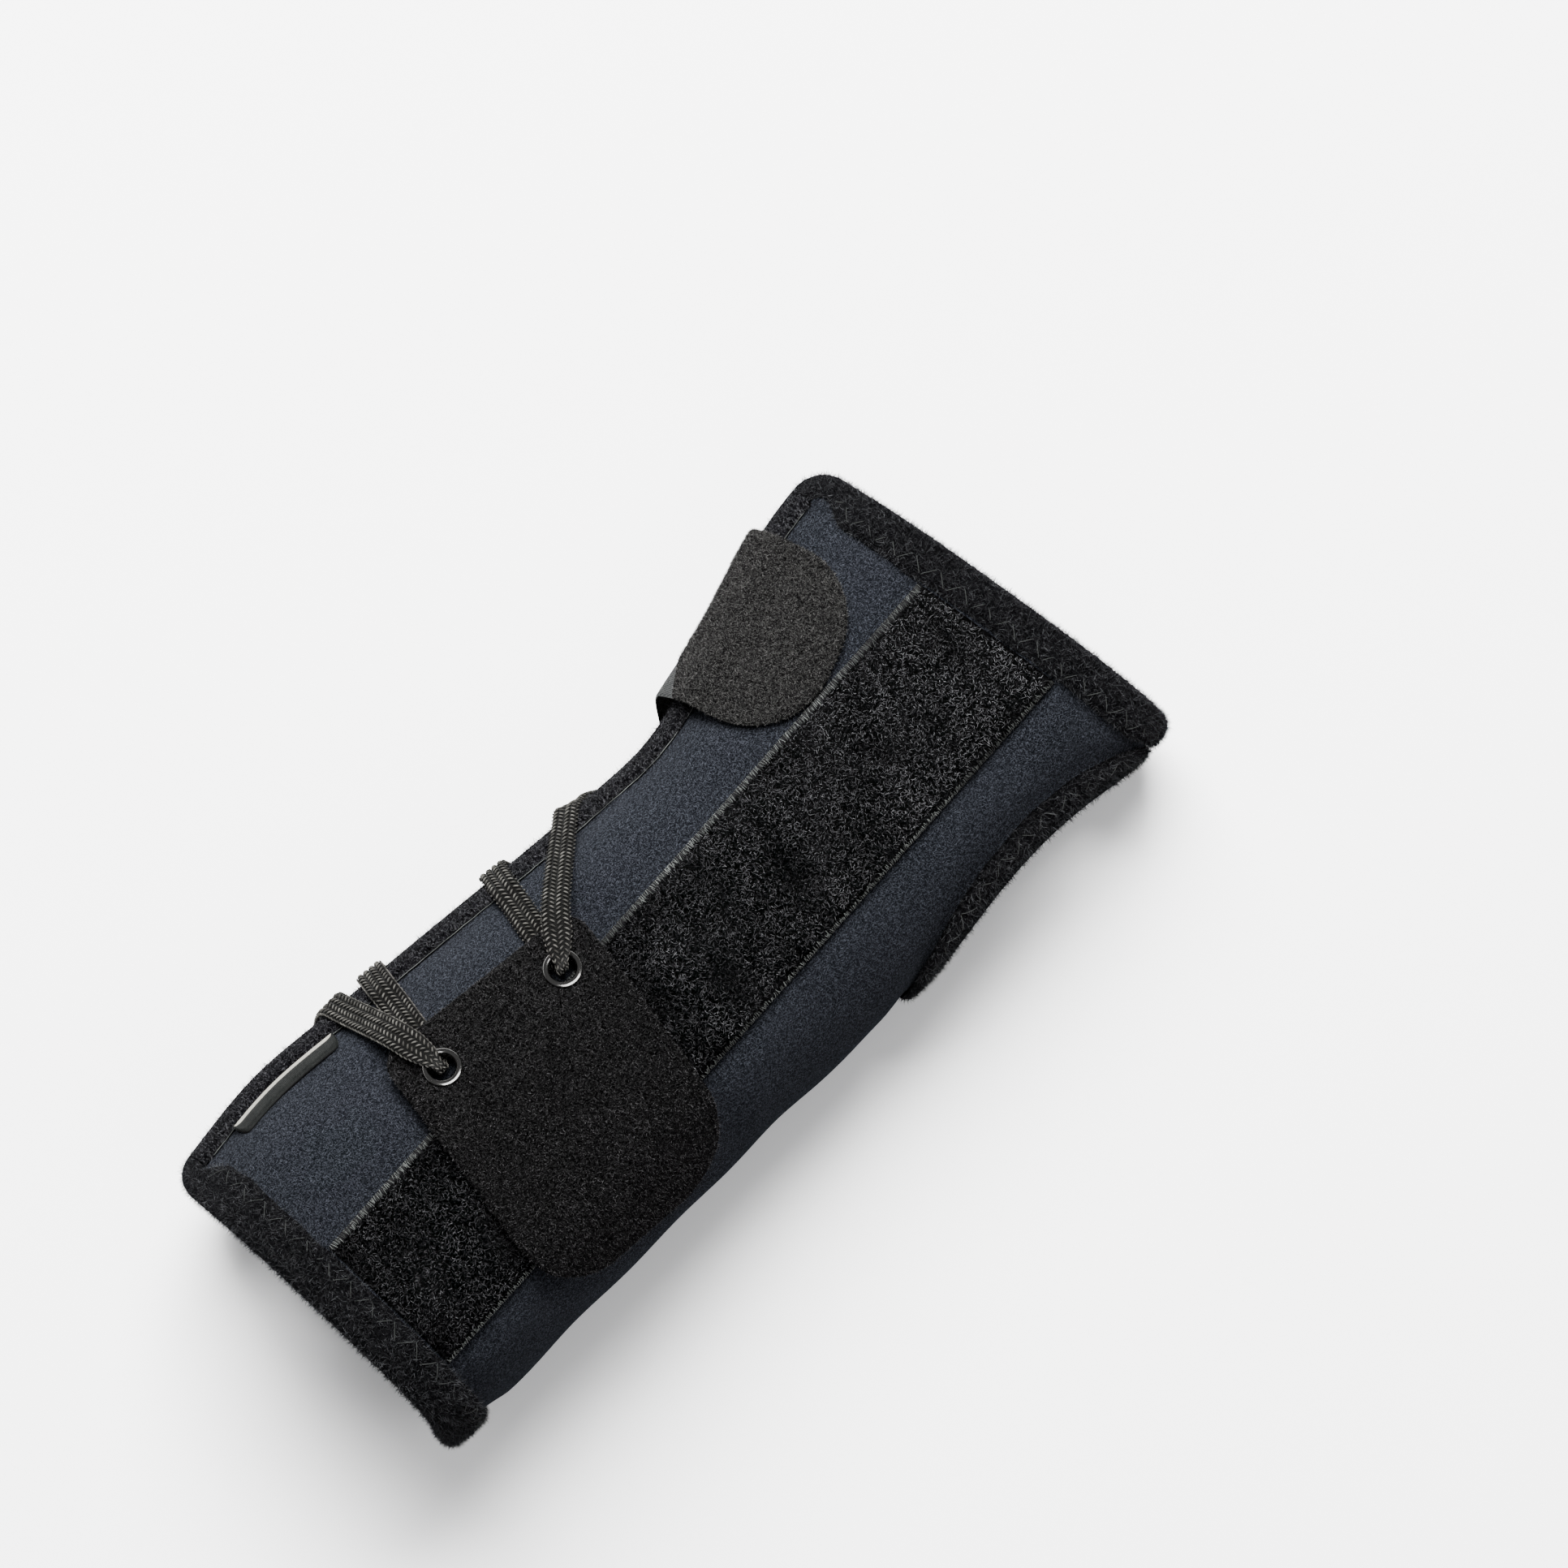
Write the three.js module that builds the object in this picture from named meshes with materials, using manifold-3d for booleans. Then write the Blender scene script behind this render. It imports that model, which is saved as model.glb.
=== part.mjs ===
// Lace-up wrist splint for a right hand, lying on its back with the palm side up.
// Millimetres, +X towards the fingers, +Y towards the little finger, +Z up.
// Each cloth piece is drawn flat and wrapped round the arm form: x runs along the arm,
// s is the girth from the palm's centre line (positive towards the little finger) and
// h is the height over the sleeve's outer face.
import * as THREE from "three";
import Module from "manifold-3d";

const clearance = 0.3;
const sleeveWall = 3;
const plushThick = 1;

// Arm form: the reach from the palm's centre line to each side, the palm's height and
// the height of the widest place, at each distance x from the forearm end.
const armSections = [
  { x: 0, ulnar: 47.4, radial: 27.9, top: 59.5, widest: 27.5 },
  { x: 25, ulnar: 48.6, radial: 29.5, top: 59, widest: 27 },
  { x: 47, ulnar: 45.6, radial: 30.6, top: 57.5, widest: 26.5 },
  { x: 72, ulnar: 41.8, radial: 32.3, top: 55.5, widest: 25.5 },
  { x: 98, ulnar: 37.7, radial: 34.3, top: 53, widest: 24.5 },
  { x: 115, ulnar: 35.4, radial: 35.4, top: 51.2, widest: 23.7 },
  { x: 130, ulnar: 34, radial: 36.6, top: 49.5, widest: 23 },
  { x: 145, ulnar: 36.1, radial: 38.2, top: 47.7, widest: 22.3 },
  { x: 165, ulnar: 41.8, radial: 40, top: 45.5, widest: 21.5 },
  { x: 183, ulnar: 45.7, radial: 40.6, top: 44, widest: 21 },
  { x: 205, ulnar: 46.4, radial: 40, top: 42, widest: 20.5 },
];
const palmLine = { y: -11.2, drift: 0.0368 };
const palmRoundness = 2.3;
const backRoundness = 2.4;
const floorSag = 2;
const floorBlend = 1.5;
const girthSamples = 240;
const normalStep = 1.2;
const probe = 0.5;

// The opening: the palm edge stands off the arm by the flare.
const palmEdgeAngle = 80;
const openingGirth = 12;
const edgeFlare = 2.6;
const flareRun = 14;

// Sleeve ends.
const distalMiddle = 202.7;
const distalSlant = 0.14;
const cornerRadius = { distal: 6.5, proximal: 5 };
const backSetback = 5;
const rimRun = 8;
const rimHeight = 12;
const sleeveSteps = { along: 17, corner: 3, longest: 12, mostTurn: 19, modelX: 150 };

const thumbHole = { x: 168.4, s: -54.6, halfLength: 30.4, halfGirth: 15, steps: 40, punch: 9 };

// Bindings: how far each reaches in from its edge.
const bindingReach = { distal: 8, proximal: 9, corner: 4.5, thumb: 7.5, palmEdge: 5.2, backEdge: 5.2 };
const cornerRun = 7;
const bindingTaper = 0.7;
const bindingSlack = { inner: 1.8, middle: 1.3, fold: 1.7, nose: 0.8 };
const sideBindingStep = 8.8;
const sideEndGap = 0.9;
const webShare = 0.5;

const pocket = { width: 34.4, pile: 1.4, selvedge: 0.7, selvedgeWidth: 2.6, slope: 0.6, steps: 15 };

const strap = {
  x: 159.3, tilt: 16, width: 39.5, reach: 29.8, back: 26, thick: 1.5, endRadius: 17,
  rest: 0.35, overBinding: 1.85, onEdgeFrom: 0.5, onEdgeTo: 7, sewnFrom: 0.5, sewnTo: 4,
  lift: 2, bowInset: 3, bowFrom: 4, bowTo: 15, bowAcross: 5, runStep: 4, stepsAcross: 8,
};
const roundSteps = { start: 3, end: 5 };

const tab = {
  x: 69.3, s: 29.8, turn: 10.3, width: 51, length: 64, thick: 1.6, nearRadius: 5, farRadius: 19,
  overPocket: 2.05, atEyelets: 2.35, atFarEnd: 0.45, pocketFrom: 7, pocketTo: 0.5,
  eyeletsFrom: 10, eyeletsTo: 4, runStep: 5.5, stepsAcross: 9,
};

const eyelet = {
  hole: 2.8, barrel: 0.35, rim: 4.15, crown: 0.8, underRim: 3.7, underCrown: 0.7, sides: 14,
  throat: 0.2, crownIn: 0.5, rimRound: 0.35, crownDrop: 0.15,
};
const eyeletPlaces = { distal: { x: 83.4, s: 18.3 }, proximal: { x: 51.9, s: 23.2 } };

const lace = {
  width: 6.3, thick: 1, squeezedWidth: 2.7, squeezedThick: 1.2, step: 3.8, chamfer: 0.35,
};
const laceOverEdge = 2.3;
const laceEdgeRun = 4;
const laceOnTab = 5.7;
const laceUnderTab = 0.86;
// Lace stops beside an eyelet: the distance from it, the drop below the leg and the squeeze.
const topStops = [
  { from: 1.1, drop: 0.8, squeeze: 1 },
  { from: 3.2, drop: 0, squeeze: 0.4 },
  { from: 6.5, drop: 0, squeeze: 0 },
  { from: 11.5, drop: 0.5, squeeze: 0 },
];
const underStops = [
  { from: 1.1, drop: -0.75, squeeze: 1 },
  { from: 3.2, drop: 0, squeeze: 0.35 },
  { from: 7, drop: 0, squeeze: 0 },
];
const laceTurnRadius = 4.2;
const laceDepth = 3.5;
const laceLegs = {
  distalTop: { eye: "distal", overX: 110, endX: 119 },
  distalUnder: { eye: "distal", overX: 90, endX: 93 },
  proximalUnder: { eye: "proximal", overX: 57.6, endX: 59 },
  proximalTop: { eye: "proximal", overX: 47.4, endX: 43.5 },
};

const casing = {
  from: 37, to: 126, width: 10.5, tunnel: 7, slope: 1.6, thick: 0.8, overLace: 3.15, steps: 15,
};

const label = { from: 15, to: 42.8, width: 4.2, thick: 0.8, stepsAlong: 5, stepsAcross: 4 };

const colours = {
  laminate: 0x262c38, plush: 0x161819, knit: 0x1b1c1e, pile: 0x151515, strap: 0x302f2e,
  nap: 0x1c1b1c, nickel: 0xb9bcbe, braid: 0x3e3c37, woven: 0x3a3d38,
};

const wasm = await Module();
wasm.setup();

const mix = (a, b, t) => a + (b - a) * t;
const signedPower = (v, e) => Math.sign(v) * Math.abs(v) ** e;

function ramp(v, from, to) {
  const t = Math.min(1, Math.max(0, (v - from) / (to - from)));
  return t * t * (3 - 2 * t);
}

function steps(count) {
  return Array.from({ length: count + 1 }, (_, i) => i / count);
}

// A smooth curve through one column of the arm sections.
function sizeAt(x, column) {
  const rows = armSections;
  let i = 0;
  while (i < rows.length - 2 && x > rows[i + 1].x) i++;
  const slope = (k) => {
    const a = rows[Math.max(0, k - 1)];
    const b = rows[Math.min(rows.length - 1, k + 1)];
    return (b[column] - a[column]) / (b.x - a.x);
  };
  const run = rows[i + 1].x - rows[i].x;
  const t = (x - rows[i].x) / run;
  if (t < 0) return rows[i][column] + slope(i) * t * run;
  if (t > 1) return rows[i + 1][column] + slope(i + 1) * (t - 1) * run;
  const t2 = t * t;
  const t3 = t2 * t;
  return (2 * t3 - 3 * t2 + 1) * rows[i][column] + (t3 - 2 * t2 + t) * run * slope(i)
    + (3 * t2 - 2 * t3) * rows[i + 1][column] + (t3 - t2) * run * slope(i + 1);
}

// Cloth that lies on the floor is pressed flat.
function pressed(z) {
  return z <= 0 ? 0 : z + floorBlend * (Math.exp(-z / floorBlend) - 1);
}

function drawSection(x) {
  const centre = palmLine.y + palmLine.drift * x;
  const ulnar = sizeAt(x, "ulnar");
  const radial = sizeAt(x, "radial");
  const top = sizeAt(x, "top");
  const widest = sizeAt(x, "widest");
  const outline = [];
  for (let i = 0; i <= girthSamples; i++) {
    const angle = Math.PI * (2 * i / girthSamples - 1);
    const side = Math.sin(angle);
    const up = Math.cos(angle);
    const power = 2 / (up > 0 ? palmRoundness : backRoundness);
    const rise = up > 0 ? top - widest : widest + floorSag;
    const y = centre + (side > 0 ? ulnar : radial) * signedPower(side, power);
    const z = pressed(widest + rise * signedPower(up, power));
    const last = outline[outline.length - 1];
    const s = last ? last.s + Math.hypot(y - last.y, z - last.z) : 0;
    outline.push({ s, y, z });
  }
  const middle = outline[girthSamples / 2].s;
  for (const point of outline) point.s -= middle;
  return outline;
}

const drawn = new Map();

function sectionAt(x) {
  const key = Math.round(x * 1000);
  if (!drawn.has(key)) drawn.set(key, drawSection(x));
  return drawn.get(key);
}

function girth(x) {
  const section = sectionAt(x);
  return section[girthSamples].s - section[0].s;
}

// The same place on the girth, between the two ends of the drawn section.
function onSection(x, s) {
  const section = sectionAt(x);
  if (s < section[0].s) return s + girth(x);
  return s > section[girthSamples].s ? s - girth(x) : s;
}

function girthPoint(x, s) {
  const section = sectionAt(x);
  const place = onSection(x, s);
  let low = 0;
  let high = girthSamples;
  while (high - low > 1) {
    const half = (low + high) >> 1;
    if (section[half].s <= place) low = half;
    else high = half;
  }
  const t = (place - section[low].s) / (section[high].s - section[low].s);
  return { y: mix(section[low].y, section[high].y, t), z: mix(section[low].z, section[high].z, t) };
}

function palmEdge(x) {
  const place = (palmEdgeAngle / 180 + 1) / 2 * girthSamples;
  const low = Math.floor(place);
  const section = sectionAt(x);
  return mix(section[low].s, section[low + 1].s, place - low);
}

function backEdge(x) {
  return palmEdge(x) + openingGirth - girth(x);
}

// How far the cloth stands off the arm beside the opening.
function flareAt(x, s) {
  const past = onSection(x, s) - palmEdge(x);
  if (past > 0) return edgeFlare * Math.max(0, 1 - past / openingGirth);
  return edgeFlare * Math.max(0, 1 + past / flareRun) ** 2;
}

// The ends are raised off the floor by their bindings.
function rimLift(x, point) {
  const fromEnd = Math.min(x - backSetback, distalMiddle - distalSlant * point.y - x);
  const rimFrom = bindingReach.proximal + 1;
  const nearEnd = 1 - ramp(fromEnd, rimFrom, rimFrom + rimRun);
  return (plushThick + clearance) * nearEnd * (1 - ramp(point.z, 0, rimHeight));
}

// A flat place on the pattern, wrapped round the arm form.
function wrap(x, s, h) {
  const at = girthPoint(x, s);
  const ahead = girthPoint(x, s + normalStep);
  const behind = girthPoint(x, s - normalStep);
  const run = Math.hypot(ahead.y - behind.y, ahead.z - behind.z);
  const out = h + flareAt(x, s);
  return new THREE.Vector3(
    x,
    at.y - out * (ahead.z - behind.z) / run,
    at.z + out * (ahead.y - behind.y) / run + rimLift(x, at),
  );
}

// A closed surface from points and faces, turned to face outwards.
function closedSurface(points, faces) {
  let volume = 0;
  for (const [a, b, c] of faces) volume += points[a].dot(points[b].clone().cross(points[c]));
  const index = faces.flatMap(([a, b, c]) => (volume > 0 ? [a, b, c] : [a, c, b]));
  const surface = new THREE.BufferGeometry().setFromPoints(points);
  surface.setIndex(index);
  return surface;
}

// A sheet of cloth: a grid of flat places, each with the height of both its faces.
function sheet(us, vs, place) {
  const points = [];
  const faces = [];
  const across = vs.length;
  const layer = us.length * across;
  for (const face of ["low", "high"]) {
    for (const u of us) {
      for (const v of vs) {
        const at = place(u, v);
        points.push(wrap(at.x, at.s, at[face]));
      }
    }
  }
  const quad = (a, b, c, d) => faces.push([a, b, c], [a, c, d]);
  for (let i = 0; i + 1 < us.length; i++) {
    for (let j = 0; j + 1 < across; j++) {
      const a = i * across + j;
      quad(a, a + 1, a + across + 1, a + across);
      quad(layer + a, layer + a + across, layer + a + across + 1, layer + a + 1);
    }
  }
  const rim = [];
  for (let i = 0; i + 1 < us.length; i++) rim.push(i * across);
  for (let j = 0; j + 1 < across; j++) rim.push((us.length - 1) * across + j);
  for (let i = us.length - 1; i > 0; i--) rim.push(i * across + across - 1);
  for (let j = across - 1; j > 0; j--) rim.push(j);
  rim.forEach((a, k) => {
    const b = rim[(k + 1) % rim.length];
    quad(a, b, layer + b, layer + a);
  });
  return closedSurface(points, faces);
}

function fan(size) {
  return Array.from({ length: size - 2 }, (_, i) => [0, i + 1, i + 2]);
}

// A body drawn through rings of points, capped at both ends or closed on itself.
function sweep(rings, closed, cap = fan(rings[0].length)) {
  const points = rings.flat();
  const faces = [];
  const size = rings[0].length;
  const spans = closed ? rings.length : rings.length - 1;
  for (let i = 0; i < spans; i++) {
    const here = i * size;
    const next = ((i + 1) % rings.length) * size;
    for (let j = 0; j < size; j++) {
      const k = (j + 1) % size;
      faces.push([here + j, here + k, next + k], [here + j, next + k, next + j]);
    }
  }
  if (!closed) {
    const last = (rings.length - 1) * size;
    for (const [a, b, c] of cap) faces.push([a, c, b], [last + a, last + b, last + c]);
  }
  return closedSurface(points, faces);
}

function toSolid(surface) {
  const vertProperties = Float32Array.from(surface.getAttribute("position").array);
  const triVerts = Uint32Array.from(surface.getIndex().array);
  const mesh = new wasm.Mesh({ numProp: 3, vertProperties, triVerts });
  mesh.merge();
  return new wasm.Manifold(mesh);
}

function cut(surface, tools) {
  let solid = toSolid(surface);
  for (const tool of tools) solid = solid.subtract(toSolid(tool));
  const mesh = solid.getMesh();
  const result = new THREE.BufferGeometry();
  const places = Float32Array.from(mesh.vertProperties);
  result.setAttribute("position", new THREE.BufferAttribute(places, 3));
  result.setIndex(Array.from(mesh.triVerts));
  return result;
}

// A prism standing on a flat outline, for cutting a hole through a sheet.
function punch(outline, heights) {
  return sweep(heights.map((h) => outline.map((p) => wrap(p.x, p.s, h))), false);
}

function cornerInset(fromSide, radius) {
  if (fromSide >= radius) return 0;
  return radius - Math.sqrt(Math.max(0, radius * radius - (radius - fromSide) ** 2));
}

// Shares of the sleeve's girth, closer together at its rounded corners and where it bends.
function drawGirthShares() {
  const x = sleeveSteps.modelX;
  const width = girth(x) - openingGirth;
  const corner = steps(sleeveSteps.corner)
    .map((t) => cornerRadius.distal * (1 - Math.cos(Math.PI / 2 * t)) / width);
  const first = corner[sleeveSteps.corner];
  const heading = (share) => {
    const ahead = girthPoint(x, sleeveS(x, share) + normalStep);
    const behind = girthPoint(x, sleeveS(x, share) - normalStep);
    return new THREE.Vector2(ahead.y - behind.y, ahead.z - behind.z).normalize();
  };
  const inner = [];
  const stride = probe / width;
  let spent = 0;
  for (let share = first; share < 1 - first - stride; share += stride) {
    const turn = heading(share).cross(heading(share + stride));
    const degrees = THREE.MathUtils.radToDeg(Math.abs(turn));
    spent += probe / sleeveSteps.longest + degrees / sleeveSteps.mostTurn;
    if (spent >= 1) {
      inner.push(share + stride);
      spent -= 1;
    }
  }
  return [...corner, ...inner, ...corner.map((share) => 1 - share).reverse()];
}

function sleeveS(x, share) {
  return mix(backEdge(x), palmEdge(x), share);
}

const girthShares = drawGirthShares();

// The sleeve's two ends at one share of its girth.
function sleeveEnds(share) {
  let end = distalMiddle;
  for (let k = 0; k < 4; k++) end = distalMiddle - distalSlant * girthPoint(end, sleeveS(end, share)).y;
  const side = Math.min(share, 1 - share);
  const distalSide = side * (girth(end) - openingGirth);
  const proximalSide = side * (girth(0) - openingGirth);
  const height = girthPoint(0, sleeveS(0, share)).z;
  const setback = backSetback * (1 - ramp(height, 0, armSections[0].widest));
  return {
    proximal: setback + cornerInset(proximalSide, cornerRadius.proximal),
    distal: end - cornerInset(distalSide, cornerRadius.distal),
  };
}

function thumbOutline() {
  return steps(thumbHole.steps).slice(0, -1).map((t) => {
    const angle = 2 * Math.PI * t;
    return {
      x: thumbHole.x + thumbHole.halfLength * Math.cos(angle),
      s: thumbHole.s + thumbHole.halfGirth * Math.sin(angle),
    };
  });
}

function makeSleeve() {
  const body = sheet(steps(sleeveSteps.along), girthShares, (u, v) => {
    const ends = sleeveEnds(v);
    const x = mix(ends.proximal, ends.distal, u);
    return { x, s: sleeveS(x, v), low: -sleeveWall, high: 0 };
  });
  const heights = [-sleeveWall - thumbHole.punch, -sleeveWall, -sleeveWall / 2, 0, thumbHole.punch];
  return cut(body, [punch(thumbOutline(), heights)]);
}

// A binding folded over an edge: the edge is a run of flat places, and the cloth lies on its left.
function binding(edge, reachAt, closed) {
  const rings = edge.map((at, i) => {
    const last = edge.length - 1;
    const before = edge[i > 0 ? i - 1 : closed ? last : 0];
    const after = edge[i < last ? i + 1 : closed ? 0 : last];
    const heading = at.heading ?? { x: after.x - before.x, s: after.s - before.s };
    const run = Math.hypot(heading.x, heading.s);
    const inX = -heading.s / run;
    const inS = heading.x / run;
    return bindingProfile(reachAt(at)).map(([b, h]) => wrap(at.x + b * inX, at.s + b * inS, h));
  });
  return sweep(rings, closed, bindingCap);
}

function bindingProfile(reach) {
  const inner = -sleeveWall - bindingSlack.inner * clearance;
  const lining = inner - plushThick;
  const top = clearance + plushThick;
  const nose = -bindingSlack.nose * top;
  const fold = -bindingSlack.middle * clearance;
  return [
    [reach / 2, -fold], [reach, clearance], [reach - bindingTaper, top], [reach / 2, top],
    [top / 2, top], [nose, clearance], [nose, inner], [top / 2, lining], [reach / 2, lining],
    [reach - bindingTaper, lining], [reach, inner], [reach / 2, inner],
    [fold, inner], [fold, bindingSlack.fold * clearance],
  ];
}

const bindingCap = [
  [0, 1, 2], [0, 2, 3], [0, 3, 4], [13, 0, 4], [13, 4, 5], [12, 13, 5],
  [12, 5, 6], [12, 6, 7], [11, 12, 7], [11, 7, 8], [11, 8, 9], [11, 9, 10],
];

function nearest(at, outline) {
  return Math.min(...outline.map((p) => Math.hypot(p.x - at.x, p.s - at.s)));
}

// One end of the sleeve from the back corner to the palm corner, where it meets the sides squarely.
function endEdge(end) {
  const edge = girthShares.map((share) => {
    const x = sleeveEnds(share)[end];
    const side = Math.min(share, 1 - share) * (girth(x) - openingGirth);
    const wide = ramp(side, cornerRadius[end], cornerRadius[end] + cornerRun);
    return { x, s: sleeveS(x, share), reach: mix(bindingReach.corner, bindingReach[end], wide) };
  });
  const back = edge[0];
  const palm = edge[edge.length - 1];
  back.heading = { x: 2 * probe, s: backEdge(back.x + probe) - backEdge(back.x - probe) };
  palm.heading = { x: -2 * probe, s: palmEdge(palm.x - probe) - palmEdge(palm.x + probe) };
  return edge;
}

function sideEdge(share) {
  const ends = sleeveEnds(share);
  const from = ends.proximal + sideEndGap;
  const to = ends.distal - sideEndGap;
  return steps(Math.round((to - from) / sideBindingStep)).map((t) => {
    const x = mix(from, to, t);
    return { x, s: sleeveS(x, share) };
  });
}

function makeDistalBinding() {
  const hole = thumbOutline();
  const reachAt = (at) => Math.min(at.reach, webShare * nearest(at, hole) - clearance);
  return binding(endEdge("distal"), reachAt, false);
}

function makeProximalBinding() {
  return binding(endEdge("proximal").reverse(), (at) => at.reach, false);
}

function makeThumbBinding() {
  const rim = endEdge("distal");
  const reachAt = (at) => Math.min(bindingReach.thumb, webShare * nearest(at, rim) - clearance);
  return binding(thumbOutline().reverse(), reachAt, true);
}

function makePocket() {
  const half = pocket.width / 2;
  const inner = half - pocket.selvedgeWidth;
  const foot = inner + pocket.slope;
  const shares = [-half, -foot, -inner, -inner / 2, 0, inner / 2, inner, foot, half];
  return sheet(steps(pocket.steps), shares, (u, s) => {
    const y = girthPoint(distalMiddle, s).y;
    const end = distalMiddle - distalSlant * y - bindingReach.distal - 2 * clearance;
    const x = mix(bindingReach.proximal + 2 * clearance, end, u);
    const thick = Math.abs(s) <= inner ? pocket.pile : pocket.selvedge;
    return { x, s, low: clearance, high: clearance + thick };
  });
}

function roundedHalf(width, fromEnd, radius) {
  return width / 2 - cornerInset(fromEnd, radius);
}

// Distances along a piece with a rounded end, closer together at the rounding.
function roundedRuns(length, radius, startRadius, span) {
  const runs = [];
  const quarter = Math.PI / 2;
  for (let k = 0; startRadius && k < roundSteps.start; k++) {
    runs.push(startRadius * (1 - Math.cos(quarter * k / roundSteps.start)));
  }
  const count = Math.round((length - radius - startRadius) / span);
  for (const t of steps(count)) runs.push(mix(startRadius, length - radius, t));
  for (let k = 1; k <= roundSteps.end; k++) {
    runs.push(length - radius + radius * Math.sin(quarter * k / roundSteps.end));
  }
  return runs;
}

function makeStrap() {
  const tilt = THREE.MathUtils.degToRad(strap.tilt);
  const edge = palmEdge(strap.x);
  const length = strap.back + strap.reach;
  const runs = roundedRuns(length, strap.endRadius, 0, strap.runStep);
  return sheet(runs, steps(strap.stepsAcross), (run, t) => {
    const along = run - strap.back;
    const half = roundedHalf(strap.width, length - run, strap.endRadius);
    const across = mix(-half, half, t);
    const x = strap.x + along * Math.sin(tilt) + across * Math.cos(tilt);
    const s = edge - along * Math.cos(tilt) + across * Math.sin(tilt);
    const past = s - palmEdge(x);
    const inside = -past - bindingReach.palmEdge;
    const beyond = past - openingGirth - bindingReach.backEdge;
    const onEdge = 1 - ramp(inside, strap.onEdgeFrom, strap.onEdgeTo);
    const sewnEnd = ramp(beyond, strap.sewnFrom, strap.sewnTo);
    const bowed = 1 - ramp(Math.abs(past + strap.bowInset), strap.bowFrom, strap.bowTo);
    const loose = strap.lift * bowed * ramp(-across, -strap.bowAcross, strap.width / 2);
    const low = mix(strap.rest, strap.overBinding, onEdge * (1 - sewnEnd)) + loose;
    return { x, s, low, high: low + strap.thick };
  });
}

function tabHeight(s) {
  const half = pocket.width / 2;
  const climb = ramp(s, -half - tab.pocketFrom, -half - tab.pocketTo);
  const rise = ramp(s, half - tab.eyeletsFrom, half - tab.eyeletsTo);
  return mix(mix(tab.atFarEnd, tab.overPocket, climb), tab.atEyelets, rise);
}

function makeTab() {
  const turn = THREE.MathUtils.degToRad(tab.turn);
  const runs = roundedRuns(tab.length, tab.farRadius, tab.nearRadius, tab.runStep);
  const body = sheet(runs, steps(tab.stepsAcross), (run, t) => {
    const near = cornerInset(run, tab.nearRadius);
    const half = roundedHalf(tab.width, tab.length - run, tab.farRadius) - near;
    const across = mix(-half, half, t);
    const x = tab.x - run * Math.sin(turn) + across * Math.cos(turn);
    const s = tab.s - run * Math.cos(turn) - across * Math.sin(turn);
    const low = tabHeight(s);
    return { x, s, low, high: low + tab.thick };
  });
  const hole = eyelet.hole + eyelet.barrel + clearance;
  const holes = Object.values(eyeletPlaces).map((eye) => {
    const outline = steps(eyelet.sides).slice(0, -1).map((t) => ({
      x: eye.x + hole * Math.cos(2 * Math.PI * t),
      s: eye.s + hole * Math.sin(2 * Math.PI * t),
    }));
    return punch(outline, [tab.atEyelets - tab.thick, tab.atEyelets + 2 * tab.thick]);
  });
  return cut(body, holes);
}

function makeEyelet(eye) {
  const half = tab.thick / 2;
  const seat = half + clearance;
  const outer = eyelet.hole + eyelet.barrel;
  const top = half + eyelet.crown;
  const profile = [
    [eyelet.hole, -half], [eyelet.hole, half + eyelet.throat], [eyelet.hole + eyelet.crownIn, top],
    [eyelet.rim - eyelet.rimRound, top - eyelet.crownDrop], [eyelet.rim, seat], [outer, seat],
    [outer, -seat], [eyelet.underRim, -seat], [outer, -half - eyelet.underCrown],
    [eyelet.hole, -half],
  ];
  const outline = profile.map(([r, y]) => new THREE.Vector2(r, y)).reverse();
  const ring = new THREE.LatheGeometry(outline, eyelet.sides);
  const middle = tab.atEyelets + half;
  const seatPoint = wrap(eye.x, eye.s, middle);
  const alongArm = wrap(eye.x + outer, eye.s, middle).sub(wrap(eye.x - outer, eye.s, middle));
  const roundArm = wrap(eye.x, eye.s + outer, middle).sub(wrap(eye.x, eye.s - outer, middle));
  const axis = alongArm.cross(roundArm).normalize();
  ring.applyQuaternion(new THREE.Quaternion().setFromUnitVectors(new THREE.Vector3(0, 1, 0), axis));
  ring.translate(seatPoint.x, seatPoint.y, seatPoint.z);
  return ring;
}

// One leg of the lace, from its eyelet over the palm edge to the casing on the back panel.
// Each stop has its distance from the eyelet, its height and how far the eyelet squeezes it.
function legStops(leg, onTop, side) {
  const eye = eyeletPlaces[leg.eye];
  const lip = { x: leg.overX, s: palmEdge(leg.overX) };
  const length = Math.hypot(lip.x - eye.x, lip.s - eye.s);
  const across = { x: side * (lip.s - eye.s) / length, s: -side * (lip.x - eye.x) / length };
  const ramped = length - bindingReach.palmEdge - 1;
  const height = onTop ? laceOnTab : laceUnderTab;
  const beside = onTop ? topStops : underStops;
  const rows = beside.map(({ from, drop, squeeze }) => [from, height - drop, squeeze]);
  if (!onTop) {
    const far = ramped - laceEdgeRun;
    const near = beside[beside.length - 1].from;
    rows.push([(near + far) / 2, height, 0], [far, height, 0]);
  }
  for (const d of [ramped, length - laceEdgeRun, length]) rows.push([d, laceOverEdge, 0]);
  const stops = rows.map(([d, h, squeeze]) => ({
    x: mix(eye.x, lip.x, d / length), s: mix(eye.s, lip.s, d / length), h, squeeze, across,
  }));
  const mouth = openingGirth + bindingReach.backEdge;
  for (const past of [mouth * 0.25, mouth * 0.5, mouth * 0.75, mouth]) {
    const x = mix(leg.overX, leg.endX, past / mouth);
    stops.push({ x, s: palmEdge(x) + past, h: laceOverEdge, squeeze: 0, across: { x: side, s: 0 } });
  }
  return stops;
}

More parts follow.
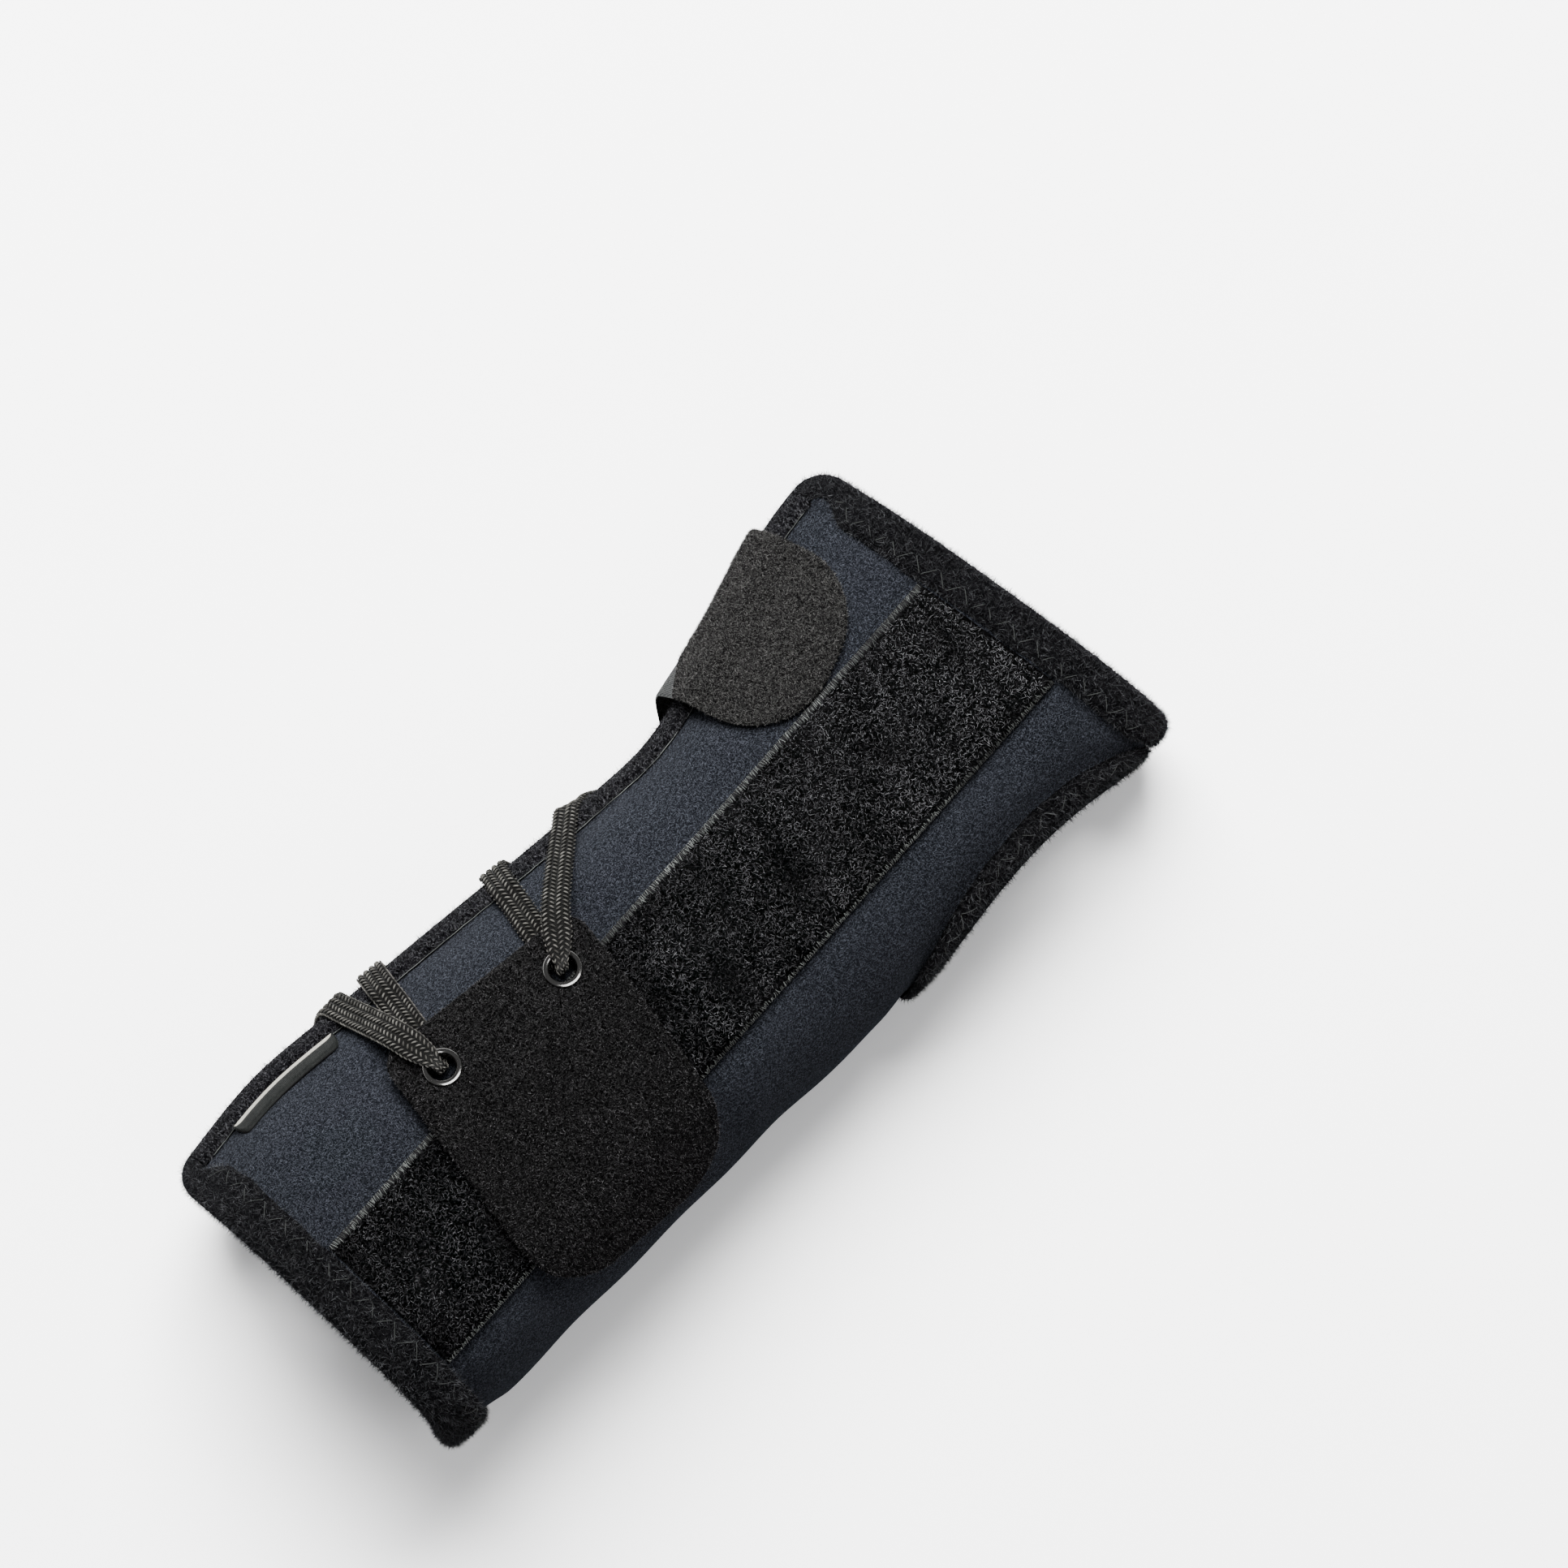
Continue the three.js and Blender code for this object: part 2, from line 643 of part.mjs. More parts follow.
function laceRoute() {
  const inCasing = (x, depth, across) => ({
    x, s: palmEdge(x) + openingGirth + bindingReach.backEdge + depth, h: laceOverEdge, squeeze: 0, across,
  });
  const inEyelet = (eye, across) => ({
    ...eyeletPlaces[eye], h: tab.atEyelets + tab.thick / 2, squeeze: 1, across: { x: across, s: 0 },
  });
  const reach = laceDepth + lace.width / 2;
  const legs = laceLegs;
  const from = legs.distalUnder.endX;
  const to = legs.proximalUnder.endX;
  const r = laceTurnRadius;
  const slant = Math.SQRT1_2;
  const turn = [
    inCasing(from - r * (1 - slant), laceDepth - r * (1 - slant), { x: slant, s: slant }),
    inCasing(from - r, laceDepth, { x: 0, s: 1 }),
    inCasing(mix(from, to, 0.35), laceDepth, { x: 0, s: 1 }),
    inCasing(mix(from, to, 0.65), laceDepth, { x: 0, s: 1 }),
    inCasing(to + r, laceDepth, { x: 0, s: 1 }),
    inCasing(to + r * (1 - slant), laceDepth - r * (1 - slant), { x: -slant, s: slant }),
  ];
  return [
    inCasing(legs.distalTop.endX, reach, { x: 1, s: 0 }),
    ...legStops(legs.distalTop, true, 1).reverse(),
    inEyelet("distal", 1),
    ...legStops(legs.distalUnder, false, 1),
    ...turn,
    ...legStops(legs.proximalUnder, false, -1).reverse(),
    inEyelet("proximal", -1),
    ...legStops(legs.proximalTop, true, -1),
    inCasing(legs.proximalTop.endX, reach, { x: -1, s: 0 }),
  ];
}

function makeLace() {
  const route = laceRoute();
  const centres = route.map((stop) => wrap(stop.x, stop.s, stop.h));
  const sideways = route.map(({ x, s, h, across }, i) => {
    const beside = wrap(x + probe * across.x, s + probe * across.s, h);
    return beside.sub(centres[i]).normalize();
  });
  const curve = new THREE.CatmullRomCurve3(centres, false, "centripetal");
  const rings = [];
  for (let i = 0; i + 1 < route.length; i++) {
    const spans = Math.max(1, Math.round(centres[i].distanceTo(centres[i + 1]) / lace.step));
    const last = i + 2 === route.length ? 1 : 0;
    for (let k = 0; k < spans + last; k++) {
      const t = k / spans;
      const at = (i + t) / (route.length - 1);
      const tangent = curve.getTangent(at);
      const flat = sideways[i].clone().lerp(sideways[i + 1], t);
      flat.addScaledVector(tangent, -flat.dot(tangent)).normalize();
      const up = tangent.clone().cross(flat);
      const squeeze = mix(route[i].squeeze, route[i + 1].squeeze, t);
      const w = mix(lace.width, lace.squeezedWidth, squeeze) / 2;
      const h = mix(lace.thick, lace.squeezedThick, squeeze) / 2;
      const f = w - lace.chamfer;
      const ring = [[w, 0], [f, h], [-f, h], [-w, 0], [-f, -h], [f, -h]];
      const centre = curve.getPoint(at);
      rings.push(ring.map(([a, b]) => centre.clone().addScaledVector(flat, a).addScaledVector(up, b)));
    }
  }
  return sweep(rings, false);
}

function makeCasing() {
  const near = openingGirth + bindingReach.backEdge + 2 * clearance;
  const depths = [0, 0.35, 0.7, 1].map((t) => t * casing.tunnel);
  const foot = casing.tunnel + casing.slope;
  const shares = [...depths, foot, casing.width];
  return sheet(steps(casing.steps), shares, (u, depth) => {
    const x = mix(casing.from, casing.to, u);
    const low = mix(casing.overLace, clearance, ramp(depth, casing.tunnel, foot));
    return { x, s: palmEdge(x) + near + depth, low, high: low + casing.thick };
  });
}

function makeLabel() {
  return sheet(steps(label.stepsAlong), steps(label.stepsAcross), (u, t) => {
    const x = mix(label.from, label.to, u);
    const from = palmEdge(x) - bindingReach.palmEdge - 2 * clearance;
    return { x, s: from - t * label.width, low: clearance, high: clearance + label.thick };
  });
}

const part = new THREE.Group();
part.name = "lace_up_wrist_splint";

function add(name, surface, color, metalness = 0, roughness = 0.95) {
  const mesh = new THREE.Mesh(surface, new THREE.MeshStandardMaterial({ color, metalness, roughness }));
  mesh.name = name;
  part.add(mesh);
}

add("sleeve", makeSleeve(), colours.laminate);
add("distal_binding", makeDistalBinding(), colours.plush);
add("proximal_binding", makeProximalBinding(), colours.plush);
add("thumb_binding", makeThumbBinding(), colours.plush);
add("palm_edge_binding", binding(sideEdge(1).reverse(), () => bindingReach.palmEdge, false), colours.knit);
add("back_edge_binding", binding(sideEdge(0), () => bindingReach.backEdge, false), colours.knit);
add("stay_pocket", makePocket(), colours.pile);
add("hand_strap", makeStrap(), colours.strap);
add("lace_tab", makeTab(), colours.nap);
add("tab_eyelet_distal", makeEyelet(eyeletPlaces.distal), colours.nickel, 1, 0.3);
add("tab_eyelet_proximal", makeEyelet(eyeletPlaces.proximal), colours.nickel, 1, 0.3);
add("lace", makeLace(), colours.braid);
add("lace_casing", makeCasing(), colours.knit);
add("label_tab", makeLabel(), colours.woven);

// The origin is under the middle of the whole splint, on the floor.
const box = new THREE.Box3().setFromObject(part);
part.position.set(-(box.min.x + box.max.x) / 2, -(box.min.y + box.max.y) / 2, -box.min.z);

export default part;
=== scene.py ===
from functools import reduce
from math import cos, hypot, pi, radians, sin, sqrt

import bpy
import numpy as np
from mathutils import Matrix, Vector


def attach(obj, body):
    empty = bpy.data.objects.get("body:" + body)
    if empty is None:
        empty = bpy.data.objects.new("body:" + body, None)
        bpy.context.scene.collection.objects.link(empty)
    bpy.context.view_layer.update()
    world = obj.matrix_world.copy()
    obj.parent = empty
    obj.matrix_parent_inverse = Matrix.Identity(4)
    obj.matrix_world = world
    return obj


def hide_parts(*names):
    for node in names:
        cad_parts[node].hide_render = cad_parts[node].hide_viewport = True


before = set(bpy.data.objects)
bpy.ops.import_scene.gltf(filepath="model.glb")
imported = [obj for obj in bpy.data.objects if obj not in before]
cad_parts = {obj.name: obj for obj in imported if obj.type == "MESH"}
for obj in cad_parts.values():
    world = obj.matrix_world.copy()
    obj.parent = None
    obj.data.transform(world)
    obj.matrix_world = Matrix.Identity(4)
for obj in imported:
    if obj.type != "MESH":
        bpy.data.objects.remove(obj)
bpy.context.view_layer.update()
print("frame loaded:", len(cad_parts), "nodes")

mm = 0.001
join = np.concatenate
scene = bpy.context.scene

# the form that every cloth piece is wrapped round, in mm, with the same rows as the solids
form = {
    "x": [0, 25, 47, 72, 98, 115, 130, 145, 165, 183, 205],
    "ulnar": [47.4, 48.6, 45.6, 41.8, 37.7, 35.4, 34, 36.1, 41.8, 45.7, 46.4],
    "radial": [27.9, 29.5, 30.6, 32.3, 34.3, 35.4, 36.6, 38.2, 40, 40.6, 40],
    "top": [59.5, 59, 57.5, 55.5, 53, 51.2, 49.5, 47.7, 45.5, 44, 42],
    "widest": [27.5, 27, 26.5, 25.5, 24.5, 23.7, 23, 22.3, 21.5, 21, 20.5],
    "palmLineY": -11.2, "palmLineDrift": 0.0368, "palmRoundness": 2.3, "backRoundness": 2.4,
    "floorSag": 2.0, "floorBlend": 1.5, "palmEdgeAngle": 80, "openingGirth": 12.0,
    "edgeFlare": 2.6, "flareRun": 14.0,
    "rimRaise": 1.3, "rimFrom": 10, "rimRun": 8, "rimHeight": 12,
    "tableFrom": -20.0, "tableTo": 226.0, "tableStep": 0.5, "tableGirth": 960, "normalStep": 1.2,
    "shift": (-104.389, -0.102, 0.0),
}


def mix(a, b, t):
    return a + (b - a) * t


def ramp(v, a, b):
    t = np.clip((v - a) / (b - a), 0, 1)
    return t * t * (3 - 2 * t)


def least(*values):
    return reduce(np.minimum, values)


def unit(v, tiny=1e-12):
    return v / (np.linalg.norm(v, axis=-1, keepdims=True) + tiny)


def signedPower(v, e):
    return np.sign(v) * np.abs(v) ** e


# one size of the form at any x: a smooth curve through the rows, straight on past both ends
def sizeAt(x, column):
    rowX = np.array(form["x"], float)
    rowV = np.array(form[column], float)
    n = len(rowX)
    before = np.maximum(np.arange(n) - 1, 0)
    after = np.minimum(np.arange(n) + 1, n - 1)
    slope = (rowV[after] - rowV[before]) / (rowX[after] - rowX[before])
    i = np.clip(np.searchsorted(rowX, x, side="left") - 1, 0, n - 2)
    run = rowX[i + 1] - rowX[i]
    whole = (x - rowX[i]) / run
    t = np.clip(whole, 0, 1)
    curve = ((2 * t**3 - 3 * t**2 + 1) * rowV[i] + (t**3 - 2 * t**2 + t) * run * slope[i]
             + (3 * t**2 - 2 * t**3) * rowV[i + 1] + (t**3 - t**2) * run * slope[i + 1])
    return curve + (whole - t) * run * np.where(whole < 0, slope[i], slope[i + 1])


# the form's sections, drawn once and read off evenly round their girth
def drawFormTable():
    f = form
    x = np.arange(f["tableFrom"], f["tableTo"], f["tableStep"])
    angle = np.linspace(-pi, pi, f["tableGirth"] + 1)
    side, up = np.sin(angle), np.cos(angle)
    columns = ("ulnar", "radial", "top", "widest")
    ulnar, radial, top, widest = (sizeAt(x, column)[:, None] for column in columns)
    power = 2 / np.where(up > 0, f["palmRoundness"], f["backRoundness"])
    centre = f["palmLineY"] + f["palmLineDrift"] * x[:, None]
    y = centre + np.where(side > 0, ulnar, radial) * signedPower(side, power)
    z = widest + np.where(up > 0, top - widest, widest + f["floorSag"]) * signedPower(up, power)
    z = np.where(z <= 0, 0, z + f["floorBlend"] * (np.exp(-np.maximum(z, 0) / f["floorBlend"]) - 1))
    step = np.hypot(np.diff(y, axis=1), np.diff(z, axis=1))
    s = join([np.zeros((len(x), 1)), np.cumsum(step, axis=1)], axis=1)
    s -= s[:, f["tableGirth"] // 2][:, None]
    girths = s[:, -1] - s[:, 0]
    share = np.linspace(0, 1, f["tableGirth"] + 1)
    edge = np.array([np.interp(radians(f["palmEdgeAngle"]), angle, row) for row in s])
    rows = [(row - row[0]) / whole for row, whole in zip(s, girths)]
    evenly = lambda values: np.array([np.interp(share, row, v) for row, v in zip(rows, values)])
    return {"x": x, "start": s[:, 0], "girth": girths, "edge": edge, "y": evenly(y), "z": evenly(z)}


formTable = drawFormTable()


def inTable(x, column):
    return np.interp(x, formTable["x"], formTable[column])


def palmEdge(x):
    return inTable(x, "edge")


def backEdge(x):
    return palmEdge(x) + form["openingGirth"] - inTable(x, "girth")


def clothGirth(x):
    return inTable(x, "girth") - form["openingGirth"]


def distalLine(y):
    return sleeve["distalMiddle"] - sleeve["distalSlant"] * y


# y and z on the form, read between the table's rows and columns
def onForm(x, s):
    lastRow = len(formTable["x"]) - 1.001
    row = np.clip((x - formTable["x"][0]) / form["tableStep"], 0, lastRow)
    i = row.astype(int)
    y = z = 0
    for k, share in ((i, 1 - row + i), (i + 1, row - i)):
        t = ((s - formTable["start"][k]) / formTable["girth"][k]) % 1.0 * form["tableGirth"]
        j = np.minimum(t.astype(int), form["tableGirth"] - 1)
        y = y + share * mix(formTable["y"][k, j], formTable["y"][k, j + 1], t - j)
        z = z + share * mix(formTable["z"][k, j], formTable["z"][k, j + 1], t - j)
    return y, z


# both lips of the opening stand out a little, to leave the lace room
def flareAt(x, s):
    start = inTable(x, "start")
    past = start + (s - start) % inTable(x, "girth") - palmEdge(x)
    outside = np.maximum(0, 1 - past / form["openingGirth"])
    inside = np.maximum(0, 1 + past / form["flareRun"]) ** 2
    return form["edgeFlare"] * np.where(past > 0, outside, inside)


# the ends are raised where they rest, so that their bindings clear the floor
def rimLift(x, y, z):
    fromEnd = least(x - sleeve["backSetback"], distalLine(y) - x)
    near = 1 - ramp(fromEnd, form["rimFrom"], form["rimFrom"] + form["rimRun"])
    return form["rimRaise"] * near * (1 - ramp(z, 0, form["rimHeight"]))


def asGrids(*values):
    return np.broadcast_arrays(*(np.asarray(v, float) for v in values))


# a flat place on the pattern, wrapped round the form: x along the sleeve, s round it, h over it
def wrap(x, s, h):
    x, s, h = asGrids(x, s, h)
    step = form["normalStep"]
    y, z = onForm(x, s)
    aheadY, aheadZ = onForm(x, s + step)
    behindY, behindZ = onForm(x, s - step)
    alongY, alongZ = aheadY - behindY, aheadZ - behindZ
    out = (h + flareAt(x, s)) / np.hypot(alongY, alongZ)
    return np.stack([x, y - out * alongZ, z + out * alongY + rimLift(x, y, z)], -1)


def flatPlaces(x, s, h):
    return np.stack(asGrids(x, s, h), -1)


# smooth uneven waves over the pattern, between about -1 and 1
def waves(x, s, size, seed, count=6, lengths=(0.7, 1.5)):
    dice = np.random.default_rng(seed)
    total = 0
    for _ in range(count):
        heading, phase = dice.random(2) * 2 * pi
        length = size * dice.uniform(*lengths)
        total = total + np.sin((x * cos(heading) + s * sin(heading)) * 2 * pi / length + phase)
    return total * 2 / count


# one mesh from points in mm, with the flat place and a tone kept at each point for the materials
def makePiece(name, slot, points, faces, flat, tone=None, node=None, look=None, smooth=True):
    points = points.reshape(-1, 3)
    tone = np.zeros(len(points)) if tone is None else np.ravel(tone)
    mesh = bpy.data.meshes.new(name)
    mesh.from_pydata((points + np.array(form["shift"])) * mm, [], faces, shade_flat=not smooth)
    mesh.attributes.new("cloth", "FLOAT_VECTOR", "POINT").data.foreach_set("vector", np.ravel(flat))
    mesh.attributes.new("tone", "FLOAT", "POINT").data.foreach_set("value", tone)
    mesh.validate()
    piece = bpy.data.objects.new(name, mesh)
    scene.collection.objects.link(piece)
    mesh.materials.append(finishes[look or slot])
    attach(piece, "root")
    if node:
        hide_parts(node)
    return piece


# quads of a grid whose rows or columns may close on themselves; keep marks those that are there
def gridQuads(shape, closed=False, closedAcross=False, keep=None):
    rows, columns = shape[:2]
    i = np.arange(rows - (not closed))[:, None]
    j = np.arange(columns - (not closedAcross))[None]
    up, k = (i + 1) % rows, (j + 1) % columns
    corners = ((i, j), (up, j), (up, k), (i, k))
    quads = np.stack([row * columns + column for row, column in corners], -1).reshape(-1, 4)
    return quads if keep is None else quads[keep.ravel()]


def facedOut(points, faces):
    a, b, c, d = points[faces].swapaxes(0, 1)
    volume = (a * np.cross(b, c)).sum() + (a * np.cross(c, d)).sum()
    return faces[:, ::-1] if volume < 0 else faces


# a closed sheet between two grids of points, as one piece
def sheetPiece(name, slot, low, high, flats, tones=None, closed=False, keep=None,
               node=None, look=None):
    quads = gridQuads(low.shape, closed, keep=keep)
    points = join([low.reshape(-1, 3), high.reshape(-1, 3)])
    count = len(points) // 2
    sides = np.stack([quads, np.roll(quads, -1, 1)], -1).reshape(-1, 2)
    key = sides.min(1) * np.int64(count) + sides.max(1)
    _, first, uses = np.unique(key, return_index=True, return_counts=True)
    rim = sides[first[uses == 1]]
    walls = np.stack([rim[:, 1], rim[:, 0], rim[:, 0] + count, rim[:, 1] + count], 1)
    faces = facedOut(points, join([quads + count, quads[:, ::-1], walls]))
    used = np.unique(faces)
    place = np.full(len(points), -1)
    place[used] = np.arange(len(used))
    flat = join([f.reshape(-1, 3) for f in flats])[used]
    tone = None if tones is None else join([t.ravel() for t in tones])[used]
    return makePiece(name, slot, points[used], place[faces], flat, tone, node, look)


# draws the points inside an oval hole out to its edge, and tells which they were
def clearHole(x, s, centreX, centreS, halfX, halfS, middle=0.05):
    scaled = np.hypot((x - centreX) / halfX, (s - centreS) / halfS)
    inside = scaled < 1
    pull = np.where(inside, 1 / np.maximum(scaled, middle), 1)
    return centreX + (x - centreX) * pull, centreS + (s - centreS) * pull, inside


def quadsOutside(inside):
    return ~(inside[:-1, :-1] & inside[1:, :-1] & inside[:-1, 1:] & inside[1:, 1:])


# random places spread evenly over a cloth, with normals that point away from its inner face
def scatter(low, high, flat, count, dice, closed=False, keep=None, tiny=1e-9):
    quads = gridQuads(high.shape, closed, keep=keep)
    inner, p, f = (grid.reshape(-1, 3)[quads] for grid in (low, high, flat))
    normal = np.cross(p[:, 2] - p[:, 0], p[:, 3] - p[:, 1])
    normal = normal if (normal * (p - inner).mean(1)).sum() > 0 else -normal
    area = np.linalg.norm(normal, axis=1)
    pick = np.searchsorted(np.cumsum(area) / area.sum(), dice.random(count))
    a, b = dice.random((2, count, 1))
    spot = lambda v: mix(mix(v[pick, 0], v[pick, 1], a), mix(v[pick, 3], v[pick, 2], a), b)
    return spot(p), normal[pick] / (area[pick][:, None] + tiny), spot(f)


def repeatFaces(count, pointsEach, faces):
    return (np.arange(count)[:, None, None] * pointsEach + np.array(faces)).reshape(-1, 3)


# every fibre: how deep it starts, how it leans and curls, and its tone from root to tip, painted
# shade at the root and painted highlight at the tip
fibre = {
    "sunk": 0.1, "clearOfFloor": 0.2, "lifted": 1.2, "widths": (0.7, 1.3),
    "curlLean": 0.35, "curlRuns": (0.5, 0.55), "spikeShading": (0.2, 0.2, 0.2, 1.0),
    "curlShading": (0.1, 0.1, 0.1, 0.7, 0.7, 0.7, 1.0),
}


def threeRound(middle, width, across, other):
    turns = [2 * pi * k / 3 for k in range(3)]
    return [middle + width[:, None] * (cos(t) * across + sin(t) * other) for t in turns]


# thin tapered fibres, each a closed spike of four faces, with their tone from painted shade at the
# root to painted highlight at the tip
def spikes(roots, lean, length, width, dice):
    tip = roots + lean * length[:, None]
    across = unit(np.cross(lean, unit(dice.normal(size=roots.shape))))
    ring = threeRound(roots - lean * fibre["sunk"], width, across, np.cross(lean, across))
    fade = np.array(fibre["spikeShading"])
    faces = repeatFaces(len(roots), len(fade), [[0, 2, 1], [0, 1, 3], [1, 2, 3], [2, 0, 3]])
    return np.stack([*ring, tip], 1), faces, fade


# short curled fibres, each a closed hook of two lengths and a point, with their tone from painted
# shade at the root to painted highlight at the point
def curls(roots, normal, heading, length, bend, width):
    first = unit(normal + fibre["curlLean"] * heading)
    second = unit(np.cos(bend)[:, None] * first + np.sin(bend)[:, None] * heading)
    lower, upper = fibre["curlRuns"]
    middle = roots + lower * length[:, None] * first
    tip = middle + upper * length[:, None] * second
    across = unit(np.cross(first, heading))
    other = np.cross(first, across)
    base = roots - fibre["sunk"] * normal
    fade = np.array(fibre["curlShading"])
    faces = repeatFaces(len(roots), len(fade), [
        [0, 2, 1], [0, 1, 4], [0, 4, 3], [1, 2, 5], [1, 5, 4],
        [2, 0, 3], [2, 3, 5], [3, 4, 6], [4, 5, 6], [5, 3, 6]])
    rings = threeRound(base, width, across, other) + threeRound(middle, width, across, other)
    return np.stack([*rings, tip], 1), faces, fade


# short fibres over a cloth, leaning every way; none goes below the floor
def coverFibres(name, slot, low, high, flat, cover, closed=False, keep=None):
    dice = np.random.default_rng(cover["seed"])
    roots, normal, place = scatter(low, high, flat, cover["count"], dice, closed, keep)
    lean = unit(normal + cover["spread"] * dice.normal(size=normal.shape))
    flip = (lean * normal).sum(1) < cover["upright"]
    lean[flip] = unit(lean[flip] + fibre["lifted"] * normal[flip])
    length = dice.uniform(*cover["length"], cover["count"])
    clear = least(roots[:, 2], roots[:, 2] + lean[:, 2] * length) > fibre["clearOfFloor"]
    width = cover["width"] * dice.uniform(*fibre["widths"], clear.sum())
    points, faces, fade = spikes(roots[clear], lean[clear], length[clear], width, dice)
    # each fibre's tone is random, times the painted shade at its root and painted highlight at its
    # tip
    tone = dice.random(clear.sum())[:, None] ** cover["fade"] * fade
    flat = np.repeat(place[clear], len(fade), 0)
    return makePiece(name, slot, points, faces, flat, tone, smooth=False)


def tubeFaces(rings, sides):
    quads = gridQuads((rings, sides), closedAcross=True)[:, [0, 3, 2, 1]]
    fan = np.array([[0, m + 1, m] for m in range(1, sides - 1)])
    return join([quads[:, [0, 1, 2]], quads[:, [0, 2, 3]], fan, fan[:, ::-1] + (rings - 1) * sides])


# closed tubes of the same number of rings; lines is (count, rings, 3) and radius (count, rings)
def tubes(lines, radius, sides, steep=0.8):
    count, rings = lines.shape[:2]
    tangent = unit(np.gradient(lines, axis=1))
    chord = unit(lines[:, -1] - lines[:, 0])[:, None]
    guide = np.where(np.abs(chord[..., 2:]) > steep, np.array([1.0, 0, 0]), np.array([0, 0, 1.0]))
    across = unit(np.cross(tangent, np.broadcast_to(guide, tangent.shape)))
    other = np.cross(tangent, across)
    turn = np.arange(sides) * 2 * pi / sides
    offset = np.cos(turn)[:, None] * across[:, :, None] + np.sin(turn)[:, None] * other[:, :, None]
    points = lines[:, :, None] + radius[:, :, None, None] * offset
    return points.reshape(-1, 3), repeatFaces(count, rings * sides, tubeFaces(rings, sides))


def joinParts(parts):
    points, faces, start = [], [], 0
    for p, f in parts:
        points.append(p.reshape(-1, 3))
        faces.append(f + start)
        start += len(points[-1])
    return join(points), join(faces)


def travelled(a, b):
    return np.cumsum(join([[0], np.hypot(np.diff(a), np.diff(b))]))


# half of a rounded cloth edge, from 0 at the edge to 1 one radius in
def roundOff(distance, radius, blunt=0.02):
    t = np.clip(distance / radius, 0, 1)
    return np.sqrt(np.maximum(blunt, 1 - (1 - t) ** 2))


def cornerInset(fromSide, radius):
    inside = np.maximum(0, radius * radius - np.maximum(0, radius - fromSide) ** 2)
    return np.where(fromSide >= radius, 0, radius - np.sqrt(inside))


# materials
def newMaterial(name):
    material = bpy.data.materials.new(name)
    material.use_nodes = True
    return material, material.node_tree, material.node_tree.nodes["Principled BSDF"]


# a screen colour from 0 to 255, as the shader takes it
def linear(colour):
    part = lambda v: v / 12.92 if v <= 0.04045 else ((v + 0.055) / 1.055) ** 2.4
    return (*(part(v / 255) for v in colour), 1)


def fillInputs(tree, node, inputs):
    for key, value in inputs.items():
        if isinstance(value, bpy.types.NodeSocket):
            tree.links.new(value, node.inputs[key])
        else:
            node.inputs[key].default_value = value


def addNode(tree, kind, output, inputs, **settings):
    node = tree.nodes.new("ShaderNode" + kind)
    for key, value in settings.items():
        setattr(node, key, value)
    fillInputs(tree, node, inputs)
    return node.outputs[output]


def kept(tree, name, output):
    return addNode(tree, "Attribute", output, {}, attribute_name=name)


def noise(tree, place, scale, detail=2.0, rough=0.5, curl=0.0):
    return addNode(tree, "TexNoise", "Fac", {"Vector": place, "Scale": scale, "Detail": detail,
                                             "Roughness": rough, "Distortion": curl})


def spread(tree, value, low, high, outLow=0.0, outHigh=1.0):
    return addNode(tree, "MapRange", "Result", {"Value": value, "From Min": low, "From Max": high,
                                                "To Min": outLow, "To Max": outHigh})


def blend(tree, share, first, second):
    return addNode(tree, "Mix", 2, {0: share, 6: first, 7: second}, data_type="RGBA")


def combine(tree, operation, first, second):
    return addNode(tree, "Math", 0, {0: first, 1: second}, operation=operation)


def bump(tree, height, strength, distance):
    return addNode(tree, "Bump", "Normal", {"Height": height, "Strength": strength,
                                            "Distance": distance * mm})


# the lay of the brushed fibres: turns, shift of each turn, curl and softness
brushing = {"turns": (0.35, 1.2, 1.95, 2.7), "shift": (7.1, 3.3), "curl": 0.35, "soft": 0.2}


# short brushed fibres lying four ways over each other, as light strokes
def brushedFibres(tree, place, strokeLong, strokeWide, spare):
    strokes = 0.0
    for turn in brushing["turns"]:
        lay = addNode(tree, "Mapping", "Vector", {
            "Vector": place, "Location": (*(shift * turn for shift in brushing["shift"]), 0),
            "Rotation": (0, 0, turn), "Scale": (strokeLong, strokeWide, strokeLong),
        }, vector_type="TEXTURE")
        stroke = noise(tree, lay, scale=1.0, detail=1.0, curl=brushing["curl"])
        stroke = spread(tree, stroke, spare, spare + brushing["soft"])
        strokes = combine(tree, "MAXIMUM", stroke, strokes)
    return strokes


# a cloth: two colours mixed by grain and patches, brushed fibres, and a colour for the kept tone,
# which carries the pieces' own tones and, on fibres, lace strands and the pile strip, painted
# highlight and shade
def clothMaterial(look):
    material, tree, shader = newMaterial(look["name"])
    place = kept(tree, "cloth", "Vector")
    grain = noise(tree, place, look["grain"], look["grainDetail"], look["grainRough"], look["curl"])
    patch = noise(tree, place, look["patch"])
    share = combine(tree, "ADD", spread(tree, grain, *look["contrast"]),
                    spread(tree, patch, *look["patchRange"], -look["patchy"], look["patchy"]))
    colour = blend(tree, share, linear(look["dark"]), linear(look["light"]))
    height = grain
    if "fibre" in look:
        strokes = brushedFibres(tree, place, *look["strokes"])
        colour = blend(tree, strokes, colour, linear(look["fibre"]))
        height = combine(tree, "ADD", grain, strokes)
    if "ribs" in look:
        wave = {"Vector": place, "Scale": look["ribs"], "Distortion": look["ribsCurl"]}
        ribs = addNode(tree, "TexWave", "Fac", wave, bands_direction=look["ribsAlong"])
        height = combine(tree, "ADD", height, combine(tree, "MULTIPLY", ribs, look["ribsDeep"]))
    rough = [look["rough"] + v for v in look["roughBand"]]
    fillInputs(tree, shader, {
        "Base Color": blend(tree, kept(tree, "tone", "Fac"), colour, linear(look["toned"])),
        "Roughness": spread(tree, grain, *look["grainRange"], *rough),
        "Sheen Weight": look["sheen"], "Sheen Roughness": look["sheenRough"],
        "Sheen Tint": linear(look["sheenTint"]), "Specular IOR Level": look["gloss"],
        "Normal": bump(tree, height, look["bump"], look["bumpDeep"]),
    })
    return material


